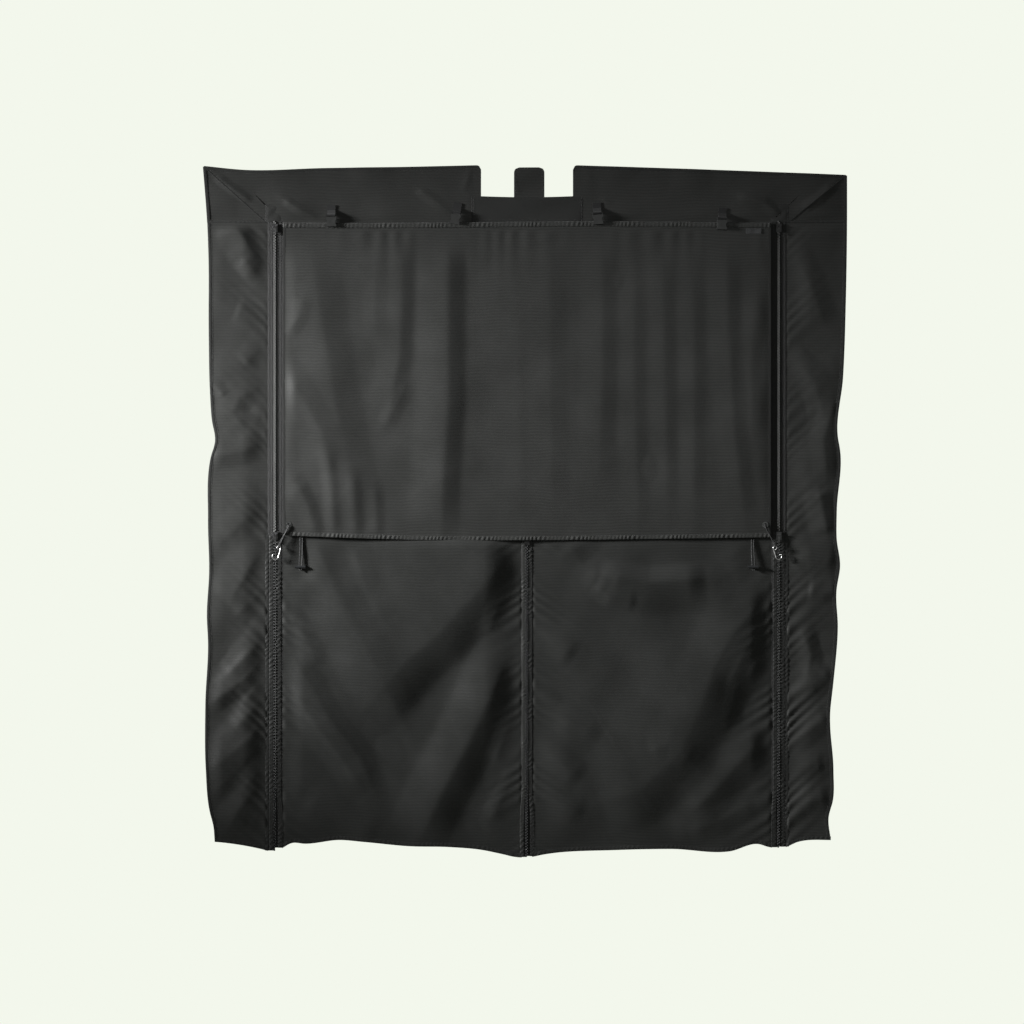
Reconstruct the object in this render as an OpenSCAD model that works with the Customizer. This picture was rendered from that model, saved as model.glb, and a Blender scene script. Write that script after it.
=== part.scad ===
// Rear-door curtain for a camper van: a black cloth panel with two side
// zips, a roll-up window cover over an insect screen, and two zipped door
// leaves below it. X runs across, Z up, and -Y faces the viewer. The origin
// is on the back face of the header, midway between the side zips.

/* [Outline] */
// Width across the two top corners
top_width = 1738; // [1700:2:1760]
// Width across the two bottom corners
bottom_width = 1664; // [1640:2:1690]
// Height of the header's top edge above the origin
header_rise = 119; // [110:1:130]
// How much lower the right-hand top corner hangs
corner_sag = 24; // [0:1:30]
// Depth of the seam under the header
header_seam = 32; // [28:1:36]
// Depth of the wings' outer bottom corners
corner_drop = 1704; // [1690:1:1715]
// Depth of the bottom edge beside the side zips
zip_drop = 1726; // [1718:1:1735]
// Depth of the bottom edge beside the centre zip
centre_drop = 1745; // [1738:1:1750]
// Thickness of the cloth with its lining and hems
cloth = 2; // [1.6:0.1:2.2]
// Width of the folded hems
hem = 12; // [8:1:15]

/* [Notch and tab] */
// Width of the notch in the header
notch_width = 248; // [236:2:256]
// Height of the notch floor above the origin
notch_floor = 38; // [34:1:42]
// Width of the patch that bridges the notch
patch_width = 297; // [280:1:310]
// Width of the tab that stands in the notch
tab_width = 82; // [70:1:90]
// Offset of the tab from the middle
tab_offset = 6; // [0:1:10]
// Height of the tab's top above the origin
tab_top = 115; // [100:1:118]

/* [Side zips] */
// Distance of each side zip from the middle
zip_x = 680; // [676:1:684]
// Half the width of the zip, from the teeth to the sewn cloth edge
zip_half = 19; // [18:1:19]
// Thickness of the zip tape
tape = 1.2; // [0.8:0.1:1.2]
// Length of a zip slider
slider_length = 22; // [18:1:24]
// Length of a pull tab from its pivot
pull_length = 22; // [16:1:24]

/* [Window cover] */
// Width of the roll-up cover
cover_width = 1316; // [1300:2:1320]
// Height of the cover's sewn top hem
cover_hem = 14; // [12:1:16]
// Thickness of the cover cloth
cover_cloth = 0.8; // [0.6:0.1:1.2]
// Distance from the back plane to the front face of the cover
cover_front = 8; // [7.8:0.1:8.4]

/* [Door leaves] */
// Depth of the seam that joins the screen to the two leaves
door_seam = 880; // [876:1:884]

/* [Buckles] */
// Width of the buckle webbing
webbing = 22; // [20:1:23]
// Width of a buckle
buckle_width = 28; // [27:1:30]
// Depth of a buckle body from front to back
buckle_depth = 8; // [7.6:0.1:8.2]
// Height of a buckle body
buckle_body = 24; // [22:1:26]

/* [Small parts] */
// Outer diameter of the corner grommets
grommet_d = 16; // [14:1:18]
// Diameter of the elastic loops
elastic_d = 2.4; // [2:0.1:2.6]
// Diameter of the toggle cords
toggle_cord_d = 2.6; // [2:0.1:3]
// Wire diameter of the hooks
hook_wire = 2.6; // [2:0.1:3]
// Length of a toggle
toggle_length = 30; // [26:1:34]
// Diameter of a toggle
toggle_d = 8; // [7:0.5:9]

/* [Hidden] */
$fn = 48;
gap = 0.5;
fold_gap = 1;
sides = [-1, 1];
half_top = top_width / 2;
half_bottom = bottom_width / 2;
zip_out = zip_x + zip_half;
zip_in = zip_x - zip_half;
tape_lap = 6;
teeth_in = 1;
teeth_out = 4;
teeth_front = 4;
teeth_back = 1.4;
screen = 1;
cover_back = cover_front - cover_cloth;
// Lengths of the cover's fixed strip and of the six strips that roll up
cover_steps = [221, 150, 115, 105, 93, 91, 81];
// Lengths of a leaf's fixed strip and of the six strips that roll up
door_steps = [70, 144, 144, 130, 130, 116];
// Across, height and tilt of each of the four buckles' webbing tabs
buckle_at = [[-528, 13, 0], [-186, 19, 10], [188, 19, -4], [528, 5, 3]];
bar_out = 12.6;
bar_r = 1.8;
loop_r = 2.3;
loop_wall = 1.4;
tab_height = 24;
wall = 1.5;
strap_drop = 300;
hook_plane = 12.6;
hook_x = 669;
hook_z = -912;
eye_r = 5;
hook_r = 8;
hook_shank = 25;
hook_lean = 16;
grommet_x = cover_width / 2 - 15;
grommet_z = -850;
grommet_hole = 4.5;
toggle_x = 610;
toggle_z = -964;
toggle_y = 8;
upper_slider_z = -49;
lower_slider_z = -880;
magnet_r = 9;
// Pivot of a pull tab: across the slider, at its front or its back
pull_up = 4;
pull_front = -teeth_front - 3.9;
pull_back = 1.8;
pin_r = 0.9;

function sum_to(list, n) = n <= 0 ? 0 : list[n - 1] + sum_to(list, n - 1);

// Draws its 2D children upright, from the depth `back` forward by `thick`.
module upright(back, thick)
    translate([0, -back, 0]) rotate([90, 0, 0]) linear_extrude(thick) children();

// A rectangle from x0 to x1 and z0 to z1, upright.
module slab(x0, x1, z0, z1, back, thick)
    upright(back, thick) translate([min(x0, x1), min(z0, z1)])
        square([abs(x1 - x0), abs(z1 - z0)]);

// Mirrors its children to the side s, which is -1 for the left.
module on_side(s) mirror([s < 0 ? 1 : 0, 0, 0]) children();

// Header: its outer end is cut to the mitre that runs down from the corner.
module header_half(s) {
    sag = s > 0 ? corner_sag : 0;
    color("#26282a") on_side(s) union() {
        upright(0, cloth) polygon([[half_top, header_rise - sag],
            [zip_out + 8, -header_seam], [notch_width / 2, -header_seam],
            [notch_width / 2, header_rise]]);
        upright(cloth, 1) polygon([[half_top, header_rise - sag],
            [half_top - 30, header_rise - sag - hem],
            [notch_width / 2, header_rise - hem], [notch_width / 2, header_rise]]);
    }
}

// Patch that bridges the notch and carries the tab.
module centre_patch() color("#1f2123") union() {
    slab(-notch_width / 2 + gap, notch_width / 2 - gap, -header_seam, notch_floor, 0, cloth);
    slab(-patch_width / 2, patch_width / 2, -header_seam + 4, notch_floor, cloth, 1.4);
}

// Tab with round top corners that stands in the notch.
module centre_tab() color("#222426") upright(0, cloth) union() {
    r = 14;
    translate([tab_offset - tab_width / 2, notch_floor])
        square([tab_width, tab_top - r - notch_floor]);
    translate([tab_offset - tab_width / 2 + r, tab_top - r - 1])
        square([tab_width - 2 * r, r + 1]);
    for (s = sides) translate([tab_offset + s * (tab_width / 2 - r), tab_top - r]) circle(r);
}

// Triangles between the mitre, the seam and the outer edge.
module corner_gussets() color("#242628") for (s = sides) {
    sag = s > 0 ? corner_sag : 0;
    on_side(s) upright(0, cloth) polygon([[half_top, header_rise - sag - gap],
        [half_top - 3, -header_seam], [zip_out + 8 + gap, -header_seam]]);
}

// Wing beside the side zip, with folded hems on its outer and lower edges.
module wing(s) color("#26282a") on_side(s) union() {
    upright(0, cloth) polygon([[half_top - 3, -header_seam - gap],
        [zip_out, -header_seam - gap], [zip_out, -zip_drop], [half_bottom, -corner_drop]]);
    upright(cloth, 1) polygon([[half_top - 3, -header_seam - gap],
        [half_top - 3 - hem, -header_seam - gap], [half_bottom - hem, -corner_drop + hem],
        [zip_out, -zip_drop + hem], [zip_out, -zip_drop], [half_bottom, -corner_drop]]);
}

// Insect screen behind the roll-up cover.
module window_screen() color("#3a3d3f")
    slab(-zip_in, zip_in, -header_seam - gap, -door_seam + gap, 0, screen);

// Half of a zip between two heights: tape, lapped over the cloth, and teeth.
// `x` is the zip's middle, `s` the side that the half lies on.
module half_zip(x, s, z0, z1) {
    slab(x + s * (teeth_out - 0.5), x + s * (zip_half + tape_lap - 3), z0, z1, cloth, tape);
    slab(x + s * teeth_in, x + s * teeth_out, z0, z1, teeth_back, teeth_front - teeth_back);
}

// Side zip: the wing's half runs to the bottom, the screen's half to the doors.
module zip_tape(s) color("#17181a") on_side(s) {
    half_zip(zip_x, 1, -header_seam - 4, -zip_drop + 26);
    half_zip(zip_x, -1, -header_seam - 4, -door_seam + gap);
}

// Cloth garages over the upper ends of the side zips.
module zip_caps() color("#1b1c1e") for (s = sides)
    slab(s * (zip_x - 20), s * (zip_x + 24), 12, -header_seam - 2, 4.4, 1.4);

// One webbing tab: a sewn plate, and a loop round the buckle's bar.
module webbing_tab() {
    translate([-webbing / 2, 0, 0]) rotate([90, 0, 90]) linear_extrude(webbing)
        difference() {
            union() {
                translate([-cloth - 2.8, -tab_height]) square([2.8, tab_height]);
                polygon([[-cloth - 0.2, -tab_height + 6], [-cloth - 2.8, -tab_height + 10],
                    [-bar_out - 2.4, -tab_height - 2], [-bar_out + 2.6, -tab_height - 7]]);
                translate([-bar_out, -tab_height - 4]) circle(loop_r + loop_wall);
            }
            translate([-bar_out, -tab_height - 4]) circle(loop_r);
        }
}

module place_buckle(i)
    translate([buckle_at[i][0], 0, buckle_at[i][1]]) rotate([0, buckle_at[i][2], 0]) children();

module webbing_tabs() color("#141516") for (i = [0:3]) place_buckle(i) webbing_tab();

// Female half of a side-release buckle, hanging from its bar.
module buckle(i) color("#0f1011") place_buckle(i) translate([0, -bar_out, -tab_height - 4]) {
    w = buckle_width;
    top = -6.5;
    difference() {
        union() {
            rotate([0, 90, 0]) cylinder(r = bar_r, h = w - 2, center = true);
            for (s = sides) translate([s * (w / 2 - 1.1) - 1.1, -2.6, top - 1]) cube([2.2, 5.2, -top + 3]);
            rotate([90, 0, 0]) linear_extrude(buckle_depth, center = true)
                polygon([[-w / 2, top + 1.5], [w / 2, top + 1.5], [w / 2, top - 4],
                    [w / 2 - 3, top - 9], [w / 2 - 3, top - 14], [w / 2, top - buckle_body + 3],
                    [w / 2 - 1, top - buckle_body], [-w / 2 + 1, top - buckle_body],
                    [-w / 2, top - buckle_body + 3], [-w / 2 + 3, top - 14],
                    [-w / 2 + 3, top - 9], [-w / 2, top - 4]]);
        }
        translate([-w / 2 + 4, -buckle_depth / 2 + wall, top - buckle_body - 1])
            cube([w - 8, buckle_depth - 2 * wall, buckle_body - 2]);
    }
}

// Straps sewn in behind the cover; they pass under the roll to the buckles.
module roll_straps() color("#141516") for (p = buckle_at)
    slab(p[0] - webbing / 2 + 1, p[0] + webbing / 2 - 1, -header_seam - cover_hem,
         -header_seam - strap_drop, screen + 1.2, 1.2);

// Male half of each buckle: a bar slot, a body and three prongs.
module strap_plugs() color("#0f1011") for (p = buckle_at)
    translate([p[0], -screen - 0.4, -header_seam - strap_drop]) upright(0, 4.4)
        difference() {
            union() {
                translate([-13, -22]) square([26, 21.5]);
                for (x = [-8.6, 0, 8.6]) translate([x - 1.4, -40]) square([2.8, 19]);
            }
            translate([-11, -7]) square([22, 3]);
        }

// Row of disc magnets let into the back of the header and the wings.
module magnet_places() {
    for (s = sides, x = [220, 400, 580]) translate([s * x, 0, 78]) children();
    for (s = sides, k = [0:4]) translate([s * (half_top - 30 - k * 6), 0, -160 - k * 330]) children();
}

module magnets() color("silver") magnet_places()
    translate([0, -0.05, 0]) rotate([90, 0, 0]) cylinder(r = magnet_r, h = 1.3);

module magnet_pockets() magnet_places()
    translate([0, 1, 0]) rotate([90, 0, 0]) cylinder(r = magnet_r + 0.3, h = 2.5);

// Small woven label at the cover's top right corner.
module label() color("#3c3f41") slab(590, 632, -50, -65, cover_front, 0.6);

// Strip i of the roll-up cover, and the hem that carries the grommets.
module cover(i) {
    top = -header_seam - sum_to(cover_steps, i - 1);
    low = top - cover_steps[i - 1];
    w = cover_width / 2;
    color("#2b2d2f") difference() {
        union() {
            slab(-w, w, top - (i > 1 ? fold_gap / 2 : gap), low + (i < 7 ? fold_gap / 2 : 0),
                 cover_back, cover_cloth);
            if (i == 1) slab(-w, w, top - gap, top - cover_hem, screen, cover_front - screen);
            if (i == 7) slab(-w, w, low, low + hem, cover_front, 0.8);
        }
        if (i == 7) for (s = sides) translate([s * grommet_x, 0, grommet_z])
            rotate([90, 0, 0]) cylinder(r = grommet_hole + 0.8, h = 40, center = true);
    }
}

// Strip i of a door leaf, with its halves of the side zip and the centre zip.
module door(s, i) {
    steps = concat(door_steps, [centre_drop - door_seam - sum_to(door_steps, 6)]);
    top = -door_seam - sum_to(steps, i - 1);
    low = top - steps[i - 1];
    z0 = top - (i > 1 ? fold_gap / 2 : gap);
    z1 = low + (i < 7 ? fold_gap / 2 : 0);
    color("#232527") on_side(s) {
        if (i < 7) slab(zip_half - 6, zip_in, z0, z1, 0, cloth);
        else {
            upright(0, cloth) polygon([[zip_half - 6, z0], [zip_in, z0],
                [zip_in, -zip_drop], [zip_half - 6, -centre_drop]]);
            upright(cloth, 1) polygon([[zip_half, -centre_drop + hem],
                [zip_in - tape_lap, -zip_drop + hem], [zip_in - tape_lap, -zip_drop],
                [zip_half, -centre_drop]]);
        }
        half_zip(zip_x, -1, z0, i < 7 ? z1 : -zip_drop + 26);
        slab(teeth_out - 0.5, zip_half - 3, z0, i < 7 ? z1 : -centre_drop + 26, cloth, tape);
        slab(teeth_in, teeth_out, z0, i < 7 ? z1 : -centre_drop + 26,
             teeth_back, teeth_front - teeth_back);
    }
}

// Slider: plates before and behind the teeth, joined by a thin post, and a
// bridge for the pull. `b` is 1 when the pull is at the back.
module slider(x, z, b = 0) color("#8d9094") translate([x, 0, z]) {
    h = slider_length;
    y = b == 0 ? pull_front : pull_back;
    difference() {
        union() {
            slab(-7, 7, -h / 2, h / 2, teeth_front + 0.3, 1.6);
            slab(-7, 7, -h / 2, h / 2, 0.1, teeth_back - 0.4);
            slab(-0.5, 0.5, -h / 2, h / 2, teeth_back - 0.4, teeth_front + 0.8 - teeth_back);
            for (s = sides) if (b == 0)
                slab(s * 3.4, s * 5.2, pull_up - 2, pull_up + 2, teeth_front + 1.5, 4.2);
            else
                slab(s * 3.4, s * 5.2, pull_up - 2, pull_up + 2, -3.6, 4);
        }
        translate([0, y, pull_up]) rotate([0, 90, 0]) cylinder(r = pin_r + 0.08, h = 20, center = true);
    }
}

// Pull tab with its pivot pin, which turns between the slider's two posts.
module pull(x, z, b = 0) color("#b9bcc0") {
    translate([x, b == 0 ? pull_front : pull_back, z + pull_up]) {
        rotate([0, 90, 0]) cylinder(r = pin_r, h = 10.4, center = true);
        difference() {
            rotate([90, 0, 0]) linear_extrude(1.4, center = true) union() {
                translate([-2.2, -pull_length + 3.2]) square([4.4, pull_length - 3.2]);
                translate([0, -pull_length + 3.2]) circle(3.2);
            }
            translate([0, 0, -pull_length + 3.2]) rotate([90, 0, 0])
                cylinder(r = 1.6, h = 4, center = true);
        }
    }
}

// Pressed metal eyelets in the cover's lower corners.
module grommets() color("silver") for (s = sides) translate([s * grommet_x, -cover_front, grommet_z])
    rotate([90, 0, 0]) rotate_extrude() union() {
        translate([grommet_hole, 0]) square([grommet_d / 2 - grommet_hole, 0.9]);
        translate([grommet_hole, -cover_cloth - 0.9]) square([grommet_d / 2 - grommet_hole, 0.9]);
        translate([grommet_hole, -cover_cloth - 0.9]) square([0.7, cover_cloth + 1]);
    }

// A cord swept along a route as one closed tube with eight sides.
function unit(v) = v / norm(v);
function along(p, i) = unit(p[min(i + 1, len(p) - 1)] - p[max(i - 1, 0)]);
function ring(p, i, r, n, up) =
    let (t = along(p, i), a = unit(cross(t, up)), b = cross(t, a))
    [for (k = [0:n - 1]) p[i] + r * (cos(360 * k / n) * a + sin(360 * k / n) * b)];
module tube(p, d, up = [0, 1, 0.2], n = 8) {
    m = len(p);
    polyhedron(
        points = [for (i = [0:m - 1]) each ring(p, i, d / 2, n, up)],
        faces = concat([[for (k = [n - 1:-1:0]) k]],
            [for (i = [0:m - 2], k = [0:n - 1])
                [i * n + k, i * n + (k + 1) % n, (i + 1) * n + (k + 1) % n, (i + 1) * n + k]],
            [[for (k = [0:n - 1]) (m - 1) * n + k]]));
}

// Wire hook: one bent wire with a curled eye, a shank and an open hook.
wire_route = concat(
    [for (a = [-110:29:180]) eye_r * [cos(a), 0, sin(a)]],
    [for (k = [1:3]) [-eye_r, 0, -k * hook_shank / 4]],
    [for (a = [180:21.5:395]) [hook_r - eye_r, 0, -hook_shank] + hook_r * [cos(a), 0, sin(a)]]);
module corner_hooks() color("silver") for (s = sides) on_side(s)
    translate([hook_x, -hook_plane, hook_z]) rotate([0, -hook_lean, 0])
        tube(wire_route, hook_wire, [0, 1, 0], 10);

// Elastic loop: out of the grommet, down round the hook's eye and back.
elastic_route = [[641, -4.8, -849], [641, -8, -849], [641.3, -10.4, -851], [643, -11.6, -856],
    [647, -12, -864], [652, -12, -873], [657, -12, -882], [661, -12.2, -891],
    [664.5, -13, -899], [667, -14.2, -904], [669, -15, -907], [669.2, -14.6, -910],
    [669.2, -12.6, -910.9], [669.2, -10.6, -909.8], [669.4, -9.6, -906],
    [668, -9.6, -900], [664, -9.8, -892], [659, -10, -884], [654, -10.2, -875],
    [650, -10.4, -866], [646.6, -10.6, -858], [645.2, -10, -852], [645, -8, -849],
    [645, -4.8, -849]];
module elastic_loop(s) color("#1a1b1c") on_side(s) tube(elastic_route, elastic_d, [0.3, 0.3, 1]);

// Toggle cord: from the seam behind the cover's hem, down and back up.
toggle_route = [[606, -4, -882], [606, -4.1, -890], [606, -4.6, -900], [606, -5.4, -912],
    [606, -6.2, -925], [606.4, -7, -938], [607, -7.6, -948], [607.6, -8, -955.4],
    [608, -8, -964], [609, -8, -971.6], [611, -8, -973], [613, -8, -971.6],
    [614, -8, -964], [614, -8, -955.4], [614, -7.6, -948], [613.6, -7, -938],
    [613, -6.2, -925], [612.4, -5.4, -912], [612, -4.6, -900], [612, -4.1, -890],
    [612, -4, -882]];
module toggle_cord(s) color("#161718") on_side(s) tube(toggle_route, toggle_cord_d, [0, 1, 0]);

// Barrel toggle with an upright slot for the two strands.
module toggles() color("#2a2b2d") for (s = sides) on_side(s)
    translate([toggle_x + 1, -toggle_y, toggle_z]) difference() {
        union() {
            rotate([0, 90, 0]) cylinder(d = toggle_d, h = toggle_length - 4, center = true);
            rotate([0, 90, 0]) cylinder(d = toggle_d - 2, h = toggle_length, center = true);
        }
        translate([-4.6, -1.5, -toggle_d]) cube([9.2, 3, 2 * toggle_d]);
    }

module with_pockets() difference() {
    children();
    magnet_pockets();
}

with_pockets() header_half(-1);  // header_left
with_pockets() header_half(1);  // header_right
centre_patch();
centre_tab();
corner_gussets();
with_pockets() wing(-1);  // wing_left
with_pockets() wing(1);  // wing_right
window_screen();
zip_tape(-1);  // zip_tape_left
zip_tape(1);  // zip_tape_right
zip_caps();
webbing_tabs();
roll_straps();
strap_plugs();
magnets();
label();
for (i = [1:7]) cover(i);
for (i = [1:7]) door(-1, i);
for (i = [1:7]) door(1, i);
for (i = [1:4]) buckle(i - 1);
slider(-zip_x, upper_slider_z);  // slider_upper_left
slider(zip_x, upper_slider_z);  // slider_upper_right
slider(-zip_x, lower_slider_z);  // slider_lower_left
slider(zip_x, lower_slider_z);  // slider_lower_right
slider(0, lower_slider_z - 14, 1);  // slider_centre
pull(-zip_x, upper_slider_z);  // pull_upper_left
pull(zip_x, upper_slider_z);  // pull_upper_right
pull(-zip_x, lower_slider_z);  // pull_lower_left
pull(zip_x, lower_slider_z);  // pull_lower_right
pull(0, lower_slider_z - 14, 1);  // pull_centre
grommets();
elastic_loop(-1);  // elastic_loop_left
elastic_loop(1);  // elastic_loop_right
corner_hooks();
toggle_cord(-1);  // toggle_cord_left
toggle_cord(1);  // toggle_cord_right
toggles();
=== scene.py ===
"""A van rear-door curtain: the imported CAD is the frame, and cloth, zips and cords are made here."""
import math

import bpy
import numpy as np
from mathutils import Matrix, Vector


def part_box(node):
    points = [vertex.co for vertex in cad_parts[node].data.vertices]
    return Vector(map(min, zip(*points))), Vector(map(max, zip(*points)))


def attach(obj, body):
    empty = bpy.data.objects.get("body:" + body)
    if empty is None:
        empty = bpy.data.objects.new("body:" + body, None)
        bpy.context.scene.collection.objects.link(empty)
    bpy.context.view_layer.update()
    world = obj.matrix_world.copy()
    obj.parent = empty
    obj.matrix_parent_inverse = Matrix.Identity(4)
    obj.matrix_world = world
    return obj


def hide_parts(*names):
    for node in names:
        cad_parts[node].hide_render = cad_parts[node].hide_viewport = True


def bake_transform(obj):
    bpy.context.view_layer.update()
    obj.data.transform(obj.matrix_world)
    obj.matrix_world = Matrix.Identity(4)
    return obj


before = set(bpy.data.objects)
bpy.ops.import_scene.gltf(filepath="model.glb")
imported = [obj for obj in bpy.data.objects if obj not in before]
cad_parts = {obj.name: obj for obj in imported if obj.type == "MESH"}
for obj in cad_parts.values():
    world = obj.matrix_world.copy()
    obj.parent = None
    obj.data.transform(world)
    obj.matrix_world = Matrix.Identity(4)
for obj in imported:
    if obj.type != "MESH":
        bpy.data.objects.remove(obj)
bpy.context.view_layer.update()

MM = 0.001

# ---------------------------------------------------------------- places, from the CAD
COVER_LOW, COVER_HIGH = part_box("cover_2")
COVER_EDGE = COVER_HIGH.x
COVER_FRONT = -COVER_LOW.y
SEAM_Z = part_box("wing_left")[1].z
DOOR_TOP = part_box("door_left_1")[1].z
ZIP_X = (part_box("slider_lower_right")[0].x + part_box("slider_lower_right")[1].x) / 2
SCREEN_LOW, SCREEN_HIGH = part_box("window_screen")
LEAF_EDGE = SCREEN_HIGH.x
PANEL_EDGE = -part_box("wing_left")[1].x
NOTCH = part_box("header_right")[0].x
PANEL_FRONT = 2 * MM
CORNER_X = {-1: 0.872, 1: 0.861}
COVER_FOOT = -0.885
DOOR_FOOT = -1.70
BUCKLES_X = (-0.528, -0.186, 0.188, 0.528)
TOGGLE_X = 0.612
STRIPS = 6


def middle(node):
    low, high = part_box(node)
    return (low + high) / 2


# ---------------------------------------------------------------- camera
VIEW_DISTANCE = 9.0
VIEW_WIDTH = 2.765
camera_data = bpy.data.cameras.new("camera")
camera_data.sensor_width = 36
camera_data.lens = 36 * VIEW_DISTANCE / VIEW_WIDTH
camera = bpy.data.objects.new("camera", camera_data)
camera.location = (-0.0405, -VIEW_DISTANCE, -0.8154)
camera.rotation_euler = (math.radians(90), 0, 0)
bpy.context.collection.objects.link(camera)
bpy.context.scene.camera = camera


# ---------------------------------------------------------------- materials
def new_material(name):
    material = bpy.data.materials.new(name)
    material.use_nodes = True
    tree = material.node_tree
    shader = tree.nodes["Principled BSDF"]
    return material, tree, shader


def link(tree, a, b):
    tree.links.new(a, b)


def math_node(tree, kind, a, b=None):
    node = tree.nodes.new("ShaderNodeMath")
    node.operation = kind
    for k, value in enumerate((a, b)):
        if value is None:
            continue
        if isinstance(value, (int, float)):
            node.inputs[k].default_value = value
        else:
            link(tree, value, node.inputs[k])
    return node.outputs[0]


def times(tree, a, b):
    return math_node(tree, "MULTIPLY", a, b)


def noise_node(tree, vector, scale, detail=3, roughness=0.5):
    node = tree.nodes.new("ShaderNodeTexNoise")
    node.inputs["Scale"].default_value = scale
    node.inputs["Detail"].default_value = detail
    node.inputs["Roughness"].default_value = roughness
    link(tree, vector, node.inputs["Vector"])
    return node.outputs["Fac"]


def ramp(tree, fac, low, high, a, b):
    """Maps fac from low..high to a..b."""
    node = tree.nodes.new("ShaderNodeMapRange")
    node.inputs["From Min"].default_value = low
    node.inputs["From Max"].default_value = high
    node.inputs["To Min"].default_value = a
    node.inputs["To Max"].default_value = b
    link(tree, fac, node.inputs["Value"])
    return node.outputs["Result"]


def tint(tree, colour, factor):
    """A colour scaled by a factor socket."""
    node = tree.nodes.new("ShaderNodeVectorMath")
    node.operation = "SCALE"
    node.inputs[0].default_value = colour
    link(tree, factor, node.inputs["Scale"])
    return node.outputs["Vector"]


def bump(tree, shader, height, distance, strength=1.0, before=None):
    node = tree.nodes.new("ShaderNodeBump")
    node.inputs["Strength"].default_value = strength
    node.inputs["Distance"].default_value = distance
    link(tree, height, node.inputs["Height"])
    if before is not None:
        link(tree, before, node.inputs["Normal"])
    link(tree, node.outputs["Normal"], shader.inputs["Normal"])
    return node.outputs["Normal"]


def cut_coordinates(tree):
    """The flat cloth's own coordinates, in metres, which bend with it."""
    uv = tree.nodes.new("ShaderNodeUVMap")
    uv.uv_map = "cut"
    split = tree.nodes.new("ShaderNodeSeparateXYZ")
    link(tree, uv.outputs["UV"], split.inputs[0])
    return uv.outputs["UV"], split.outputs["X"], split.outputs["Y"]


def wave(tree, coordinate, period):
    """A sine from 0 to 1 along a coordinate in metres."""
    angle = times(tree, coordinate, 2 * math.pi / period)
    return ramp(tree, math_node(tree, "SINE", angle), -1, 1, 0, 1)


def cloth_material(name, colour, rib=8.1 * MM, rib_depth=0.16, roughness=0.5, fade=0.22, yarn=1.7 * MM):
    """Coated polyester: plain weave, faint cross ribs, patchy sheen and handling marks."""
    material, tree, shader = new_material(name)
    uv, across, up = cut_coordinates(tree)
    drift = noise_node(tree, uv, 3.2, 4)
    wobble = times(tree, math_node(tree, "SUBTRACT", noise_node(tree, uv, 5, 3), 0.5), 24 * MM)
    ribs = wave(tree, math_node(tree, "ADD", up, wobble), rib)
    weave = times(tree, wave(tree, across, yarn), wave(tree, up, yarn))
    slub = noise_node(tree, uv, 420, 2)
    shade = ramp(tree, drift, 0.3, 0.7, 1 - fade, 1 + fade)
    shade = times(tree, shade, ramp(tree, ribs, 0, 1, 1 - rib_depth, 1 + rib_depth))
    shade = times(tree, shade, ramp(tree, slub, 0.3, 0.7, 0.9, 1.1))
    link(tree, tint(tree, colour, shade), shader.inputs["Base Color"])
    rough = ramp(tree, noise_node(tree, uv, 9, 5, 0.6), 0.3, 0.7, roughness - 0.07, roughness + 0.07)
    link(tree, rough, shader.inputs["Roughness"])
    shader.inputs["Sheen Weight"].default_value = 0.25
    shader.inputs["Sheen Roughness"].default_value = 0.45
    shader.inputs["Specular IOR Level"].default_value = 0.5
    first = bump(tree, shader, weave, 0.12 * MM, 0.8)
    second = bump(tree, shader, ribs, 0.2 * MM, 0.35, first)
    bump(tree, shader, noise_node(tree, uv, 24, 3), 1.2 * MM, 0.2, second)
    return material


def webbing_material(name, colour, rib=1.6 * MM, roughness=0.62):
    """Narrow woven tape with cross ribs and a herringbone face."""
    material, tree, shader = new_material(name)
    uv, across, up = cut_coordinates(tree)
    zigzag = math_node(tree, "PINGPONG", across, 3 * MM)
    slant = math_node(tree, "ADD", up, times(tree, zigzag, 0.8))
    ribs = wave(tree, slant, rib)
    height = times(tree, ribs, wave(tree, across, 1.1 * MM))
    shade = ramp(tree, height, 0, 1, 0.7, 1.25)
    shade = times(tree, shade, ramp(tree, noise_node(tree, uv, 40, 3), 0.3, 0.7, 0.85, 1.15))
    link(tree, tint(tree, colour, shade), shader.inputs["Base Color"])
    link(tree, ramp(tree, ribs, 0, 1, roughness + 0.08, roughness - 0.05), shader.inputs["Roughness"])
    shader.inputs["Sheen Weight"].default_value = 0.2
    bump(tree, shader, height, 0.3 * MM, 0.8)
    return material


def object_coordinates(tree):
    return tree.nodes.new("ShaderNodeTexCoord").outputs["Object"]


def plastic_material(name, colour, roughness):
    """Moulded nylon or acetal with a fine spark-eroded grain; its convex edges are painted lighter as a
    painted highlight.
    """
    material, tree, shader = new_material(name)
    place = object_coordinates(tree)
    grain = noise_node(tree, place, 1400, 2)
    blotch = noise_node(tree, place, 90, 3)
    edge = tree.nodes.new("ShaderNodeNewGeometry").outputs["Pointiness"]
    # Painted highlight: convex edges, found by pointiness, get a base colour up to 1.7 times lighter.
    shade = times(tree, ramp(tree, blotch, 0.3, 0.7, 0.85, 1.15), ramp(tree, edge, 0.5, 0.6, 1, 1.7))
    link(tree, tint(tree, colour, shade), shader.inputs["Base Color"])
    link(tree, ramp(tree, grain, 0.3, 0.7, roughness - 0.08, roughness + 0.1), shader.inputs["Roughness"])
    bump(tree, shader, grain, 0.05 * MM, 0.5)
    return material


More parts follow.
